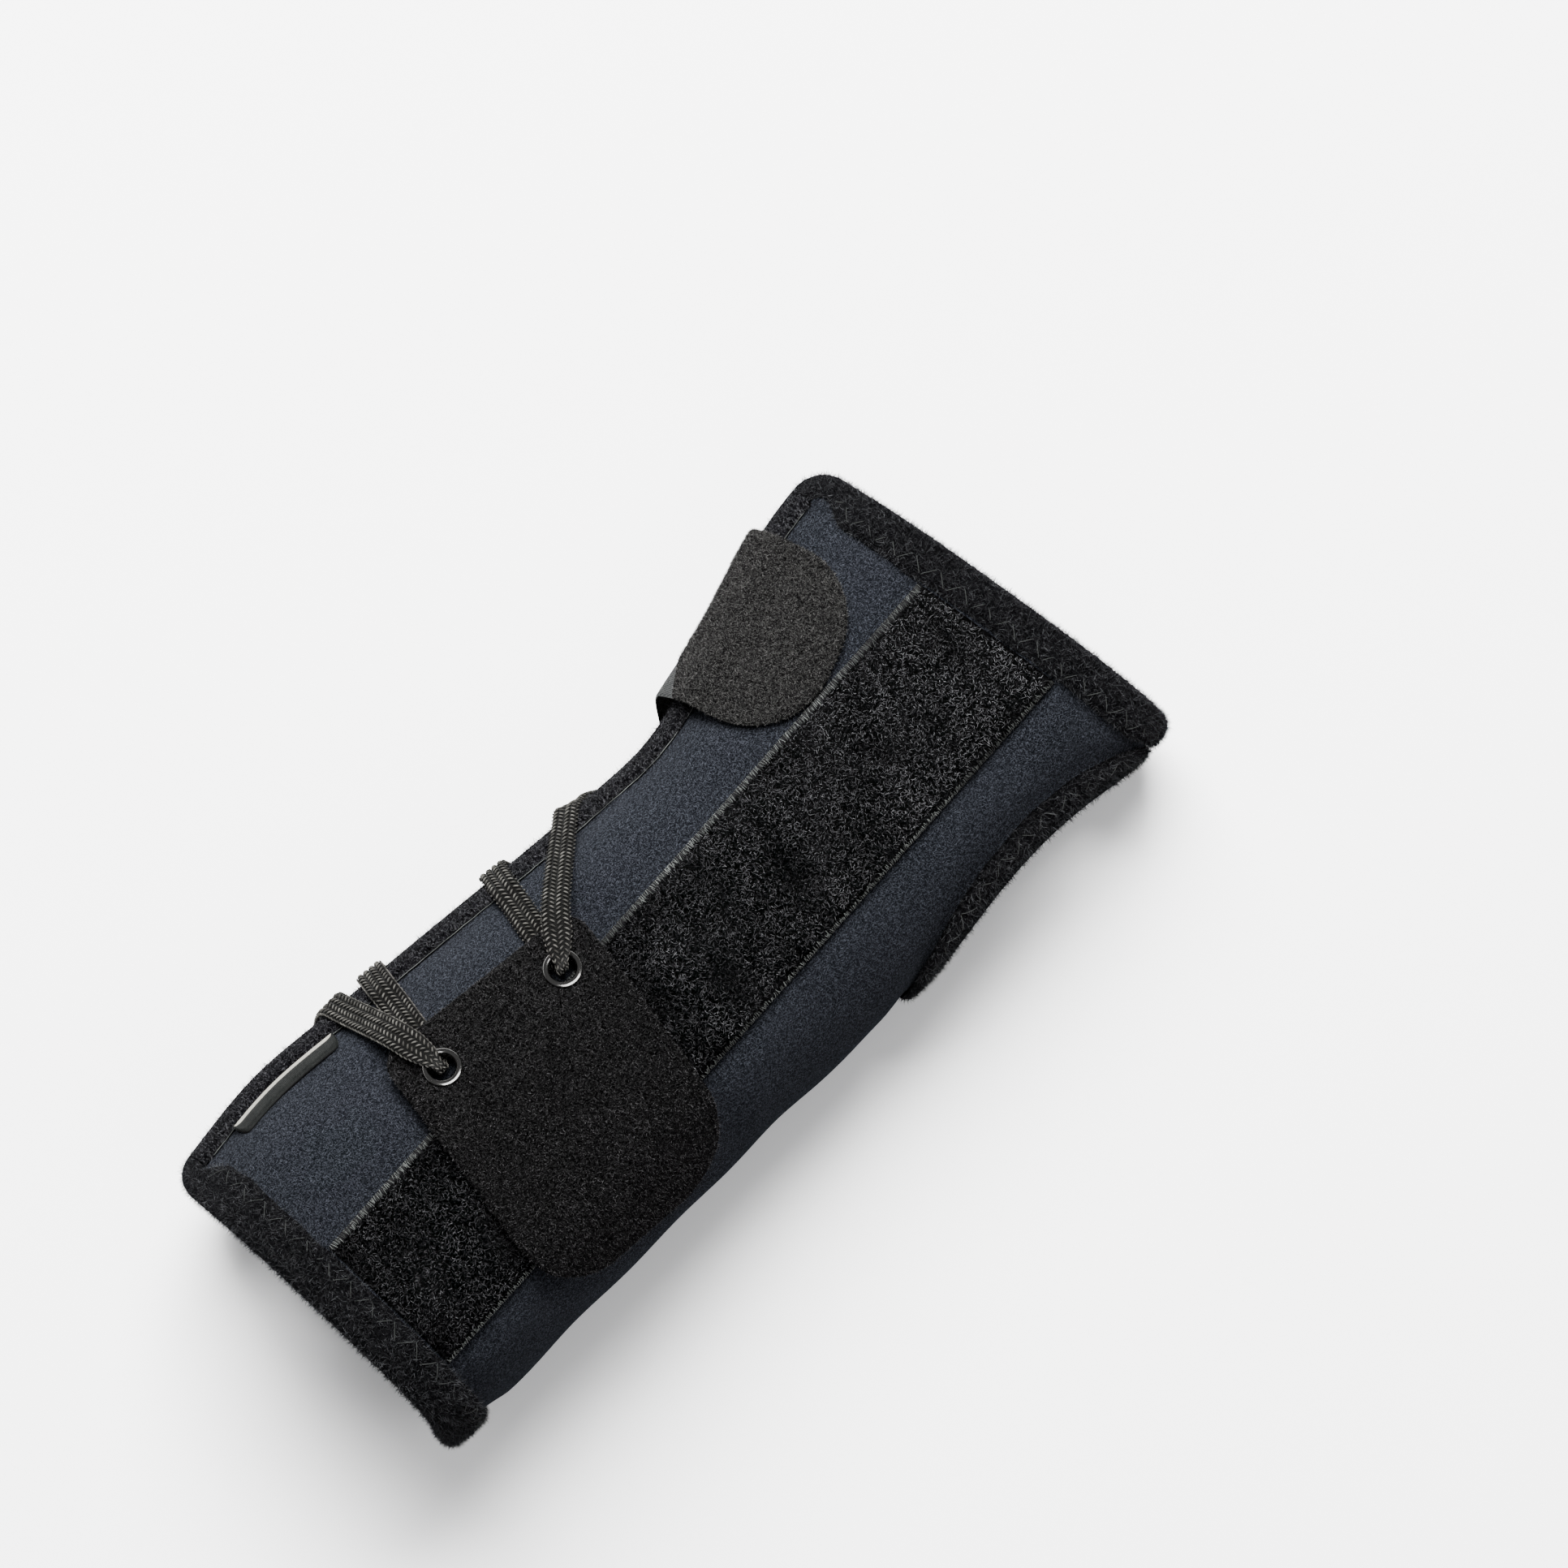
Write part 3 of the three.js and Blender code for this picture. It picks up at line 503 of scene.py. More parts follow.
clothBase = {  # what a look has where it says nothing else
    "dark": (0, 0, 0), "curl": 0.0, "contrast": (0.35, 0.7), "grainDetail": 3.0, "grainRough": 0.72,
    "grainRange": (0.3, 0.7), "patchy": 0.1, "patchRange": (0.35, 0.65),
    "rough": 0.9, "roughBand": (-0.08, 0.06), "sheen": 0.02, "sheenRough": 0.4,
    "gloss": 0.0, "bumpDeep": 0.4, "ribsCurl": 0.6,
}
looks = {
    "laminate": {
        "name": "brushed_laminate", "dark": (3, 4, 5), "light": (13, 14, 17), "toned": (8, 9, 12),
        "grain": 1.6, "curl": 1.2, "contrast": (0.36, 0.7), "patch": 0.05, "patchy": 0.12,
        "fibre": (40, 42, 47), "strokes": (0.85, 0.23, 0.56), "sheen": 0.03, "sheenRough": 0.5,
        "sheenTint": (160, 165, 175), "bump": 0.7, "bumpDeep": 0.3,
        "ribs": 0.55, "ribsAlong": "Y", "ribsDeep": 0.2,
    },
    "plush": {
        "name": "black_plush", "light": (9, 9, 10), "toned": (72, 73, 75),
        "grain": 1.8, "curl": 1.5, "contrast": (0.4, 0.68), "patch": 0.15,
        "fibre": (22, 22, 23), "strokes": (1.6, 0.4, 0.58),
        "sheenRough": 0.5, "sheenTint": (150, 155, 160), "bump": 0.8,
    },
    "knit": {
        "name": "flat_knit", "light": (12, 12, 14), "toned": (72, 73, 75),
        "grain": 1.5, "curl": 1.0, "contrast": (0.4, 0.7), "patch": 0.2,
        "fibre": (52, 52, 54), "strokes": (0.8, 0.34, 0.61),
        "sheenTint": (160, 160, 165), "bump": 0.9, "ribs": 0.5, "ribsAlong": "X", "ribsDeep": 0.3,
    },
    # its toned colour is painted highlight on the pile fibres and painted light on the strip
    "pile": {
        "name": "loop_pile", "light": (18, 18, 19), "toned": (92, 92, 94),
        "grain": 1.6, "curl": 1.5, "contrast": (0.5, 0.72), "patch": 0.08, "patchy": 0.08,
        "rough": 0.8, "sheen": 0.0, "sheenTint": (160, 162, 165), "bump": 0.8,
    },
    "strap": {
        "name": "charcoal_strap", "light": (9, 9, 9), "toned": (84, 83, 82),
        "grain": 1.4, "curl": 1.2, "contrast": (0.36, 0.68), "patch": 0.08, "patchy": 0.06,
        "fibre": (39, 39, 38), "strokes": (0.7, 0.23, 0.555),
        "sheenTint": (165, 165, 165), "bump": 0.9, "bumpDeep": 0.35,
    },
    "nap": {
        "name": "black_nap", "light": (7, 7, 7), "toned": (72, 71, 72),
        "grain": 1.5, "curl": 1.2, "contrast": (0.42, 0.72), "patch": 0.07, "patchy": 0.08,
        "fibre": (28, 28, 28), "strokes": (0.7, 0.23, 0.57),
        "sheen": 0.01, "sheenTint": (160, 160, 160), "bump": 0.9, "bumpDeep": 0.35,
    },
    "underlayer": {
        "name": "grey_underlayer",
        "dark": (11, 12, 12), "light": (38, 39, 39), "toned": (52, 54, 55),
        "grain": 2.4, "curl": 0.3, "contrast": (0.36, 0.66), "patch": 0.1, "patchy": 0.08,
        "rough": 0.8, "sheen": 0.05, "sheenTint": (170, 172, 174), "gloss": 0.05,
        "bump": 0.7, "bumpDeep": 0.25, "ribs": 0.9, "ribsAlong": "DIAGONAL", "ribsDeep": 0.8,
    },
    "braid": {
        "name": "braided_lace", "dark": (4, 4, 4), "light": (11, 11, 10), "toned": (62, 61, 58),
        "grain": 3.5, "patch": 0.4, "rough": 0.6, "sheenRough": 0.3,
        "sheenTint": (190, 185, 175), "gloss": 0.04, "bump": 0.4, "bumpDeep": 0.15,
    },
    "woven": {
        "name": "woven_label", "dark": (4, 5, 5), "light": (20, 21, 20), "toned": (124, 122, 115),
        "grain": 4.0, "patch": 0.4, "rough": 0.7, "sheen": 0.03, "sheenRough": 0.3,
        "sheenTint": (190, 195, 190), "gloss": 0.05,
        "bump": 0.5, "bumpDeep": 0.15, "ribs": 1.1, "ribsAlong": "X", "ribsDeep": 0.8,
    },
    "thread": {
        "name": "grey_thread", "dark": (1, 1, 1), "light": (9, 9, 9), "toned": (98, 101, 99),
        "grain": 3.0, "patch": 0.3, "patchy": 0.15, "rough": 0.7, "sheenRough": 0.3,
        "sheenTint": (200, 200, 200), "gloss": 0.02, "bump": 0.3, "bumpDeep": 0.1,
    },
}
nickel = {
    "name": "bright_nickel", "colour": (76, 76, 75), "worn": (52, 51, 49), "rough": 0.17,
    "scratch": 1.2, "detail": 4.0, "wornRange": (0.3, 0.75, 0.0, 0.5), "roughRange": (0.3, 0.7),
    "roughBand": (-0.05, 0.12), "bump": 0.15, "bumpDeep": 0.1,
}


def nickelMaterial():
    material, tree, shader = newMaterial(nickel["name"])
    worn = noise(tree, kept(tree, "cloth", "Vector"), nickel["scratch"], nickel["detail"])
    rough = [nickel["rough"] + v for v in nickel["roughBand"]]
    fillInputs(tree, shader, {
        "Base Color": blend(tree, spread(tree, worn, *nickel["wornRange"]),
                            linear(nickel["colour"]), linear(nickel["worn"])),
        "Roughness": spread(tree, worn, *nickel["roughRange"], *rough),
        "Metallic": 1.0, "Normal": bump(tree, worn, nickel["bump"], nickel["bumpDeep"]),
    })
    return material


finishes = {key: clothMaterial({**clothBase, **look}) for key, look in looks.items()}
finishes["nickel"] = nickelMaterial()
print("materials made:", len(finishes))

# the sleeve: foam laminate, open along its length, with a thumb hole
sleeve = {
    "wall": 3.0, "distalMiddle": 202.7, "distalSlant": 0.14, "distalCorner": 6.5,
    "proximalCorner": 5.0, "backSetback": 5.0, "along": 136, "round": 146, "girthAt": 150.0,
    "cornerRun": 6.5, "cornerSteps": (0, 0.35, 1.2, 2.6, 4.4), "puff": 0.75, "puffRange": (0.2, 7),
    "wave": 0.4, "waveSize": 34, "seamDip": 0.25, "seamWide": 1.3, "casingRoom": 12,
    "besideLace": 3.6, "freeRange": (1, 8), "liningTone": 0.35,
}
thumbHole = {"x": 168.4, "s": -54.6, "halfLength": 30.4, "halfGirth": 15.0, "steps": 200}


def sleeveS(x, share):
    return mix(backEdge(x), palmEdge(x), share)


def fromOpening(x, share):
    return least(share, 1 - share) * clothGirth(x)


def proximalEnd(share):
    zero = np.zeros_like(share)
    _, height = onForm(zero, sleeveS(zero, share))
    setback = sleeve["backSetback"] * (1 - ramp(height, 0, form["widest"][0]))
    return setback + cornerInset(fromOpening(0, share), sleeve["proximalCorner"])


def distalEnd(share, rounds=4):
    end = np.full_like(share, sleeve["distalMiddle"])
    for _ in range(rounds):
        end = distalLine(onForm(end, sleeveS(end, share))[0])
    return end - cornerInset(fromOpening(end, share), sleeve["distalCorner"])


# how far a flat place lies outside the thumb hole, about in mm
def outsideThumb(x, s, tiny=1e-6):
    halfX, halfS = thumbHole["halfLength"], thumbHole["halfGirth"]
    u, v = (x - thumbHole["x"]) / halfX, (s - thumbHole["s"]) / halfS
    r = np.hypot(u, v)
    steep = np.hypot(u / halfX, v / halfS) / np.maximum(r, tiny)
    return (r - 1) / np.maximum(steep, tiny)


# the foam stands a little proud between the sewn pieces and dips at their seams
def sleeveRelief(x, s, share):
    across = share * clothGirth(x)
    strapRun, strapOff = onStrip(strap, x, s)
    tabRun, tabOff = onStrip(tab, x, s)
    clear = least(
        distalEnd(share) - x - reaches["distal"], x - proximalEnd(share) - reaches["proximal"],
        outsideThumb(x, s) - reaches["thumb"], np.abs(s) - pocket["width"] / 2,
        across - reaches["backEdge"] - sleeve["casingRoom"],
        clothGirth(x) - across - reaches["palmEdge"],
        np.maximum(strapRun - strap["reach"], np.abs(strapOff) - strap["width"] / 2),
        np.maximum(np.maximum(-tabRun, tabRun - tab["length"]), np.abs(tabOff) - tab["width"] / 2))
    for eye, lip, _ in (lace["distalUnder"], lace["proximalUnder"]):
        fromX, fromS = eyelet[eye]
        toX, toS = lip - fromX, palmEdge(lip) - fromS
        t = np.clip(((x - fromX) * toX + (s - fromS) * toS) / (toX**2 + toS**2), 0, 1)
        fromLeg = np.hypot(x - fromX - t * toX, s - fromS - t * toS)
        clear = least(clear, fromLeg - sleeve["besideLace"])
    puffed = ramp(clear, *sleeve["puffRange"])
    free = ramp(onForm(x, s)[1], *sleeve["freeRange"])
    wave = sleeve["wave"] * waves(x, s, sleeve["waveSize"], seed=5) * puffed
    seam = sleeve["seamDip"] * np.exp(-(clear / sleeve["seamWide"]) ** 2)
    return (sleeve["puff"] * puffed + wave - seam) * free


def makeSleeve():
    span = clothGirth(sleeve["girthAt"])
    corner = np.array(sleeve["cornerSteps"]) / span
    inner = np.linspace(sleeve["cornerRun"], span - sleeve["cornerRun"], sleeve["round"]) / span
    share = join([corner, inner, 1 - corner[::-1]])
    t = np.linspace(0, 1, sleeve["along"])[:, None]
    x = mix(proximalEnd(share)[None], distalEnd(share)[None], t)
    share = np.broadcast_to(share, x.shape)
    x, s, inside = clearHole(x, sleeveS(x, share), thumbHole["x"], thumbHole["s"],
                             thumbHole["halfLength"], thumbHole["halfGirth"])
    low, high = wrap(x, s, -sleeve["wall"]), wrap(x, s, sleeveRelief(x, s, share))
    flats = flatPlaces(x, s, -sleeve["wall"]), flatPlaces(x, s, 0)
    tones = np.full(x.shape, sleeve["liningTone"]), np.zeros(x.shape)
    piece = sheetPiece("sleeve_laminate", "laminate", low, high, flats, tones,
                       keep=quadsOutside(inside), node="sleeve")


# bindings: a band of cloth folded over an edge, outer leg, rounded nose and inner leg
binding = {
    "plush": 1.0, "bulge": 0.3, "bulgeRun": 1.1, "bulgeRound": 0.7, "gap": 0.3, "innerGap": 0.54,
    "noseFrom": 0.6, "noseOut": 1.04, "edgeRound": 0.9, "fold": -0.39, "foldRise": 0.12,
    "uneven": 0.03, "unevenSize": 9, "legSteps": 10, "noseSteps": 9, "shownInside": 3,
    "fuzz": {"length": (0.7, 1.7), "width": 0.052, "spread": 0.85, "upright": 0.1, "fade": 1.8},
    # node, cloth, fibres, seed, flat size
    "distal": ("distal_binding", "plush", 20500, 11, (0.0225, 0.238)),
    "proximal": ("proximal_binding", "plush", 21000, 12, (0.0245, 0.222)),
    "thumb": ("thumb_binding", "plush", 15000, 13, (0.0215, 0.148)),
    "palm": ("palm_edge_binding", "knit", 9000, 14, (0.0168, 0.19)),
    "back": ("back_edge_binding", "knit", 2000, 15, (0.0168, 0.19)),
}
reaches = {  # how far each binding goes in from its edge
    "distal": 8.0, "proximal": 9.0, "corner": 4.5, "thumb": 7.5, "palmEdge": 5.2, "backEdge": 5.2,
    "cornerRun": 7.0, "cornerSteps": 16, "endSteps": 160, "sideSteps": 140, "sideInset": 0.15,
    "webShare": 0.5, "gap": 0.3,
}
mouth = form["openingGirth"] + reaches["backEdge"]  # girth from the palm edge past the back binding


# both faces of a binding across its edge: distance in from the edge and height over the cloth
def bindingProfile(reach):
    b = binding
    inner = -sleeve["wall"] - b["innerGap"]
    lining, top = inner - b["plush"], b["gap"] + b["plush"]
    reach = reach[:, None]
    t = np.linspace(0, 1, b["legSteps"])
    leg, under = mix(reach, b["noseFrom"], t), mix(reach, b["fold"], t)
    edge = roundOff(t * reach, b["edgeRound"])
    puff = b["bulge"] * np.sin(pi * np.clip(t * b["bulgeRun"], 0, 1)) ** b["bulgeRound"]
    turn = np.linspace(0, pi, b["noseSteps"] + 2)[1:-1]
    shape = (len(reach), len(turn))
    nose = np.broadcast_to(b["noseFrom"] - (b["noseOut"] + b["noseFrom"]) * np.sin(turn), shape)
    noseHigh = np.broadcast_to((top + lining) / 2 + (top - lining) / 2 * np.cos(turn), shape)
    outB = join([leg, nose, leg[:, ::-1]], 1)
    thick = b["plush"] * edge
    outH = join([b["gap"] + thick + puff, noseHigh, (inner - thick)[:, ::-1]], 1)
    inB = join([under, np.full(shape, b["fold"]), under[:, ::-1]], 1)
    risen = b["gap"] + b["foldRise"]
    inH = join([np.linspace(b["gap"], risen, len(t)), np.linspace(risen, inner, len(turn)),
                np.full(len(t), inner)])
    return (inB, inH), (outB, outH)


def outlineEdge(x, s, closed=False):
    heading = lambda v: np.roll(v, -1) - np.roll(v, 1) if closed else np.gradient(v)
    return {"x": x, "s": s, "headX": heading(x), "headS": heading(s)}


def thumbEdge():
    angle = -np.arange(thumbHole["steps"]) * 2 * pi / thumbHole["steps"]
    return outlineEdge(thumbHole["x"] + thumbHole["halfLength"] * np.cos(angle),
                       thumbHole["s"] + thumbHole["halfGirth"] * np.sin(angle), True)


def endEdge(end, step=0.5):
    corner = np.linspace(0, 1, reaches["cornerSteps"])
    corner = sleeve["cornerRun"] * (1 - np.cos(pi / 2 * corner)) / clothGirth(sleeve["girthAt"])
    straight = np.linspace(corner[-1], 1 - corner[-1], reaches["endSteps"])[1:-1]
    share = join([corner, straight, 1 - corner[::-1]])
    x = distalEnd(share) if end == "distal" else proximalEnd(share)
    edge = outlineEdge(x, sleeveS(x, share))
    radius = sleeve[end + "Corner"]
    wide = ramp(fromOpening(x, share), radius, radius + reaches["cornerRun"])
    edge["reach"] = mix(reaches["corner"], reaches[end], wide)
    # at both corners the edge runs on along the opening
    edge["headX"][0], edge["headS"][0] = 1, backEdge(x[0] + step) - backEdge(x[0] - step)
    edge["headX"][-1], edge["headS"][-1] = -1, palmEdge(x[-1] - step) - palmEdge(x[-1] + step)
    if end == "proximal":
        edge = {key: value[::-1] for key, value in edge.items()}
        for head in (edge["headX"], edge["headS"]):
            head[1:-1] = -head[1:-1]
    return edge


def plainSide(share):
    ends, inset = np.array([share]), reaches["sideInset"]
    x = np.linspace(proximalEnd(ends)[0] + inset, distalEnd(ends)[0] - inset, reaches["sideSteps"])
    x = x[::-1] if share else x  # the palm edge runs the other way
    return outlineEdge(x, sleeveS(x, np.full_like(x, share)))


# how far a binding may reach where two of them come close
def webGap(edge, other):
    gaps = np.hypot(edge["x"][:, None] - other["x"], edge["s"][:, None] - other["s"])
    return reaches["webShare"] * gaps.min(1) - reaches["gap"]


# one folded binding and its fuzz
def makeBinding(name, edge, reach):
    node, cloth, count, seed, flatSize = binding[name]
    closed = name == "thumb"
    run = np.hypot(edge["headX"], edge["headS"])
    inX, inS = (-edge["headS"] / run)[:, None], (edge["headX"] / run)[:, None]
    uneven = 1 + binding["uneven"] * waves(edge["x"], edge["s"], binding["unevenSize"], seed=21)
    x, s = edge["x"][:, None], edge["s"][:, None]
    places = [(x + b * inX, s + b * inS, h) for b, h in bindingProfile(reach * uneven)]
    low, high = (wrap(*place) for place in places)
    flats = [flatPlaces(*place) for place in places]
    high[..., 2] = np.maximum(high[..., 2], 0)  # pressed flat where it rests
    band = sheetPiece(node + "_band", cloth, low, high, flats, closed=closed, node=node)
    shown = slice(0, binding["legSteps"] + binding["noseSteps"] + binding["shownInside"])
    fuzz = coverFibres(node + "_plush", cloth, low[:, shown], high[:, shown], flats[1][:, shown],
                       {**binding["fuzz"], "count": count, "seed": seed}, closed)
    return edge, inX[:, 0], inS[:, 0], reach


def makeBindings():
    thumb, distal, proximal = thumbEdge(), endEdge("distal"), endEdge("proximal")
    palm, back = plainSide(1.0), plainSide(0.0)
    even = np.full(len(palm["x"]), reaches["palmEdge"])
    return {
        "distal": makeBinding("distal", distal, least(distal["reach"], webGap(distal, thumb))),
        "proximal": makeBinding("proximal", proximal, proximal["reach"]),
        "thumb": makeBinding("thumb", thumb, least(reaches["thumb"], webGap(thumb, distal))),
        "palm": makeBinding("palm", palm, even),
        "back": makeBinding("back", back, even),
    }


# the camera stands where the photograph was taken, almost straight over the palm side, in metres
view = {"target": (0.0409, 0.0044, 0.022), "distance": 3.0, "tilt": 6.0, "frameWidth": 0.322,
        "rightX": 0.691, "rightY": -0.7225, "sensor": 36.0, "clip": (0.1, 50.0)}


def makeCamera():
    tilt = radians(view["tilt"])
    back = Vector((-sin(tilt), 0, cos(tilt)))
    along = Vector((cos(tilt), 0, sin(tilt)))
    right = (along * view["rightX"] + Vector((0, view["rightY"], 0))).normalized()
    up = back.cross(right)
    data = bpy.data.cameras.new("camera")
    data.sensor_width = view["sensor"]
    data.lens = data.sensor_width * view["distance"] / view["frameWidth"]
    data.clip_start, data.clip_end = view["clip"]
    camera = bpy.data.objects.new("camera", data)
    place = Vector(view["target"]) + back * view["distance"]
    turn = Matrix((right, up, back)).transposed().to_4x4()
    camera.matrix_world = Matrix.Translation(place) @ turn
    scene.collection.objects.link(camera)
    scene.camera = camera
    return right, up, back


studio = {
    "floorSize": 14.0, "floor": (250, 250, 250), "floorRough": 0.9,
    "world": (250, 250, 252), "worldStrength": 0.7,
    # name, metres to the picture's right, up and back, size, watts, what it lights
    "lights": [
        ("key", -0.15, 1.35, 1.35, 1.4, 325.0, "cloth"),
        ("fill", 0.9, -0.6, 1.6, 1.0, 8.0, "cloth"),
        ("glint", 0.85, -0.8, 0.85, 2.6, 700.0, "metal"),
    ],
}


def makeStudio(right, up, back):
    half = studio["floorSize"] / 2
    mesh = bpy.data.meshes.new("floor")
    corners = [(-half, -half, 0), (half, -half, 0), (half, half, 0), (-half, half, 0)]
    mesh.from_pydata(corners, [], [(0, 1, 2, 3)])
    floor = bpy.data.objects.new("floor", mesh)
    scene.collection.objects.link(floor)
    material, tree, shader = newMaterial("pale_floor")
    fillInputs(tree, shader, {
        "Base Color": linear(studio["floor"]), "Roughness": studio["floorRough"],
        "Specular IOR Level": 0.0,
    })
    mesh.materials.append(material)
    world = bpy.data.worlds.new("studio")
    world.use_nodes = True
    fillInputs(world.node_tree, world.node_tree.nodes["Background"],
               {"Color": linear(studio["world"]), "Strength": studio["worldStrength"]})
    scene.world = world
    for name, toRight, toUp, toBack, size, watts, lit in studio["lights"]:
        data = bpy.data.lights.new(name, "AREA")
        data.size, data.energy = size, watts
        light = bpy.data.objects.new(name, data)
        light.visible_glossy, light.visible_diffuse = lit == "metal", lit == "cloth"
        light.location = right * toRight + up * toUp + back * toBack
        light.rotation_euler = (-light.location).to_track_quat("-Z", "Y").to_euler()
        scene.collection.objects.link(light)


# the loop-pile strip down the palm, with a flat selvedge on each long edge
pocket = {
    "width": 34.4, "selvedgeWidth": 2.6, "from": 9.6, "endGap": 8.6, "seat": 0.3, "base": 0.75,
    "selvedge": 0.6, "pileBlend": (0.3, 0.4), "wave": 0.12, "waveSize": 9, "edgeRound": 0.5,
    "stripSteps": (7, 36, 7), "along": 160, "seed": 31, "ribSeed": 33,
    "edgeLight": 0.045, "edgeLightFrom": 1.5, "edgeLightTo": 1.0, "farLight": 0.005, "toneRun": 200,
    "pile": 40500, "pileFrom": 0.4, "pileTo": 194, "pileInset": 0.5, "overSelvedge": 0.9,
    "hookShare": 0.12, "hookBend": (0.6, 1.9), "pileLength": (0.5, 1.1), "pileWidth": 0.06,
    "pileWidths": (0.75, 1.25), "pileRise": 0.55, "pileFade": 1.5, "pileFarLight": (0.66, 1.3),
    "pileWave": 0.35, "pileWaveSize": 15, "ribPitch": 0.23, "ribTo": 196, "ribInset": 0.3,
    "ribRadius": 0.085, "ribSides": 3, "ribLength": (1.35, 0.85), "ribShortest": 0.5,
    "ribOver": 0.05, "ribHeights": (-0.3, 0.09, 0.02), "ribWaveSize": 26,
    "ribUneven": {"along": 0.08, "length": 0.22, "edge": 0.13, "slant": 0.3},
    "ribDull": 0.12, "ribFade": 1.4, "ribTone": {"ulnar": (0.3, 0.5), "radial": (0.14, 0.3)},
}


def makePocket():
    half, seat = pocket["width"] / 2, pocket["seat"]
    inner = half - pocket["selvedgeWidth"]
    stops = (-half, -inner, inner, half)
    line = [np.linspace(a, b, n) for a, b, n in zip(stops, stops[1:], pocket["stripSteps"])]
    line = np.unique(join(line).round(6))
    y, _ = onForm(np.full_like(line, sleeve["distalMiddle"]), line)
    end = distalLine(y) - pocket["endGap"]
    x = mix(pocket["from"], end[None], np.linspace(0, 1, pocket["along"])[:, None])
    s = np.broadcast_to(line, x.shape)
    distance = least(half - np.abs(s), x - pocket["from"], end[None] - x)
    onPile = 1 - ramp(np.abs(s), inner - pocket["pileBlend"][0], inner + pocket["pileBlend"][1])
    wave = pocket["wave"] * waves(x, s, pocket["waveSize"], seed=8)
    thick = mix(pocket["selvedge"], pocket["base"] + wave, onPile)
    high = seat + thick * roundOff(distance, pocket["edgeRound"])
    low = np.full_like(high, seat)
    # painted light on the strip: lighter along its ulnar edge and towards its far end
    tone = pocket["edgeLight"] * ramp(s, half - pocket["edgeLightFrom"], half - pocket["edgeLightTo"])
    tone = tone + pocket["farLight"] * (x / pocket["toneRun"]) ** 2
    flats = flatPlaces(x, s, low), flatPlaces(x, s, high)
    strip = sheetPiece("pocket_strip", "pile", wrap(x, s, low), wrap(x, s, high), flats,
                       (np.zeros(x.shape), tone), node="stay_pocket")
    dice = np.random.default_rng(pocket["seed"])
    endAt = lambda places: np.interp(places, line, end)
    added = [makePile(inner, endAt, dice), makeSelvedges(half, endAt, dice)]


# cut and hooked fibres that stand on the strip; their light tone is painted highlight on the curls,
# and painted light makes them lighter towards the strip's far end
def makePile(inner, endAt, dice):
    p = pocket
    x = dice.uniform(p["from"] + p["pileFrom"], p["from"] + p["pileTo"], p["pile"])
    s = dice.uniform(-inner - p["overSelvedge"], inner + p["overSelvedge"], p["pile"])
    keep = x < endAt(s) - p["pileInset"]
    x, s = x[keep], s[keep]
    count = len(x)
    h = p["seat"] + np.where(np.abs(s) > inner, p["selvedge"], p["base"])
    roots = wrap(x, s, h)
    normal = unit(wrap(x, s, h + 1) - roots)
    heading = dice.normal(size=(count, 3))
    heading = unit(heading - (heading * normal).sum(1)[:, None] * normal)
    length = dice.uniform(*p["pileLength"], count)
    width = p["pileWidth"] * dice.uniform(*p["pileWidths"], count)
    # painted highlight: a random light tone on some fibres, raised towards the far end as painted
    # light, with random patches
    highlightAndPatches = dice.random(count) ** p["pileFade"] * mix(*p["pileFarLight"], (x / p["toneRun"]) ** 3)
    highlightAndPatches = (highlightAndPatches * (1 + p["pileWave"] * waves(x, s, p["pileWaveSize"], seed=34)))[:, None]
    place = flatPlaces(x, s, h)
    hooked = np.arange(count) < p["hookShare"] * count
    cut = ~hooked
    bend = dice.uniform(*p["hookBend"], hooked.sum())
    hooks, hookFaces, hookFade = curls(roots[hooked], normal[hooked], heading[hooked],
                                       length[hooked], bend, width[hooked])
    lean = unit(p["pileRise"] * normal + heading)
    ends, endFaces, endFade = spikes(roots[cut], lean[cut], length[cut], width[cut], dice)
    points, faces = joinParts([(hooks, hookFaces), (ends, endFaces)])
    flat = join([np.repeat(place[hooked], len(hookFade), 0),
                 np.repeat(place[cut], len(endFade), 0)])
    tone = join([(highlightAndPatches[hooked] * hookFade).ravel(), (highlightAndPatches[cut] * endFade).ravel()])
    return makePiece("pocket_pile", "pile", points, faces, flat, tone, smooth=False)


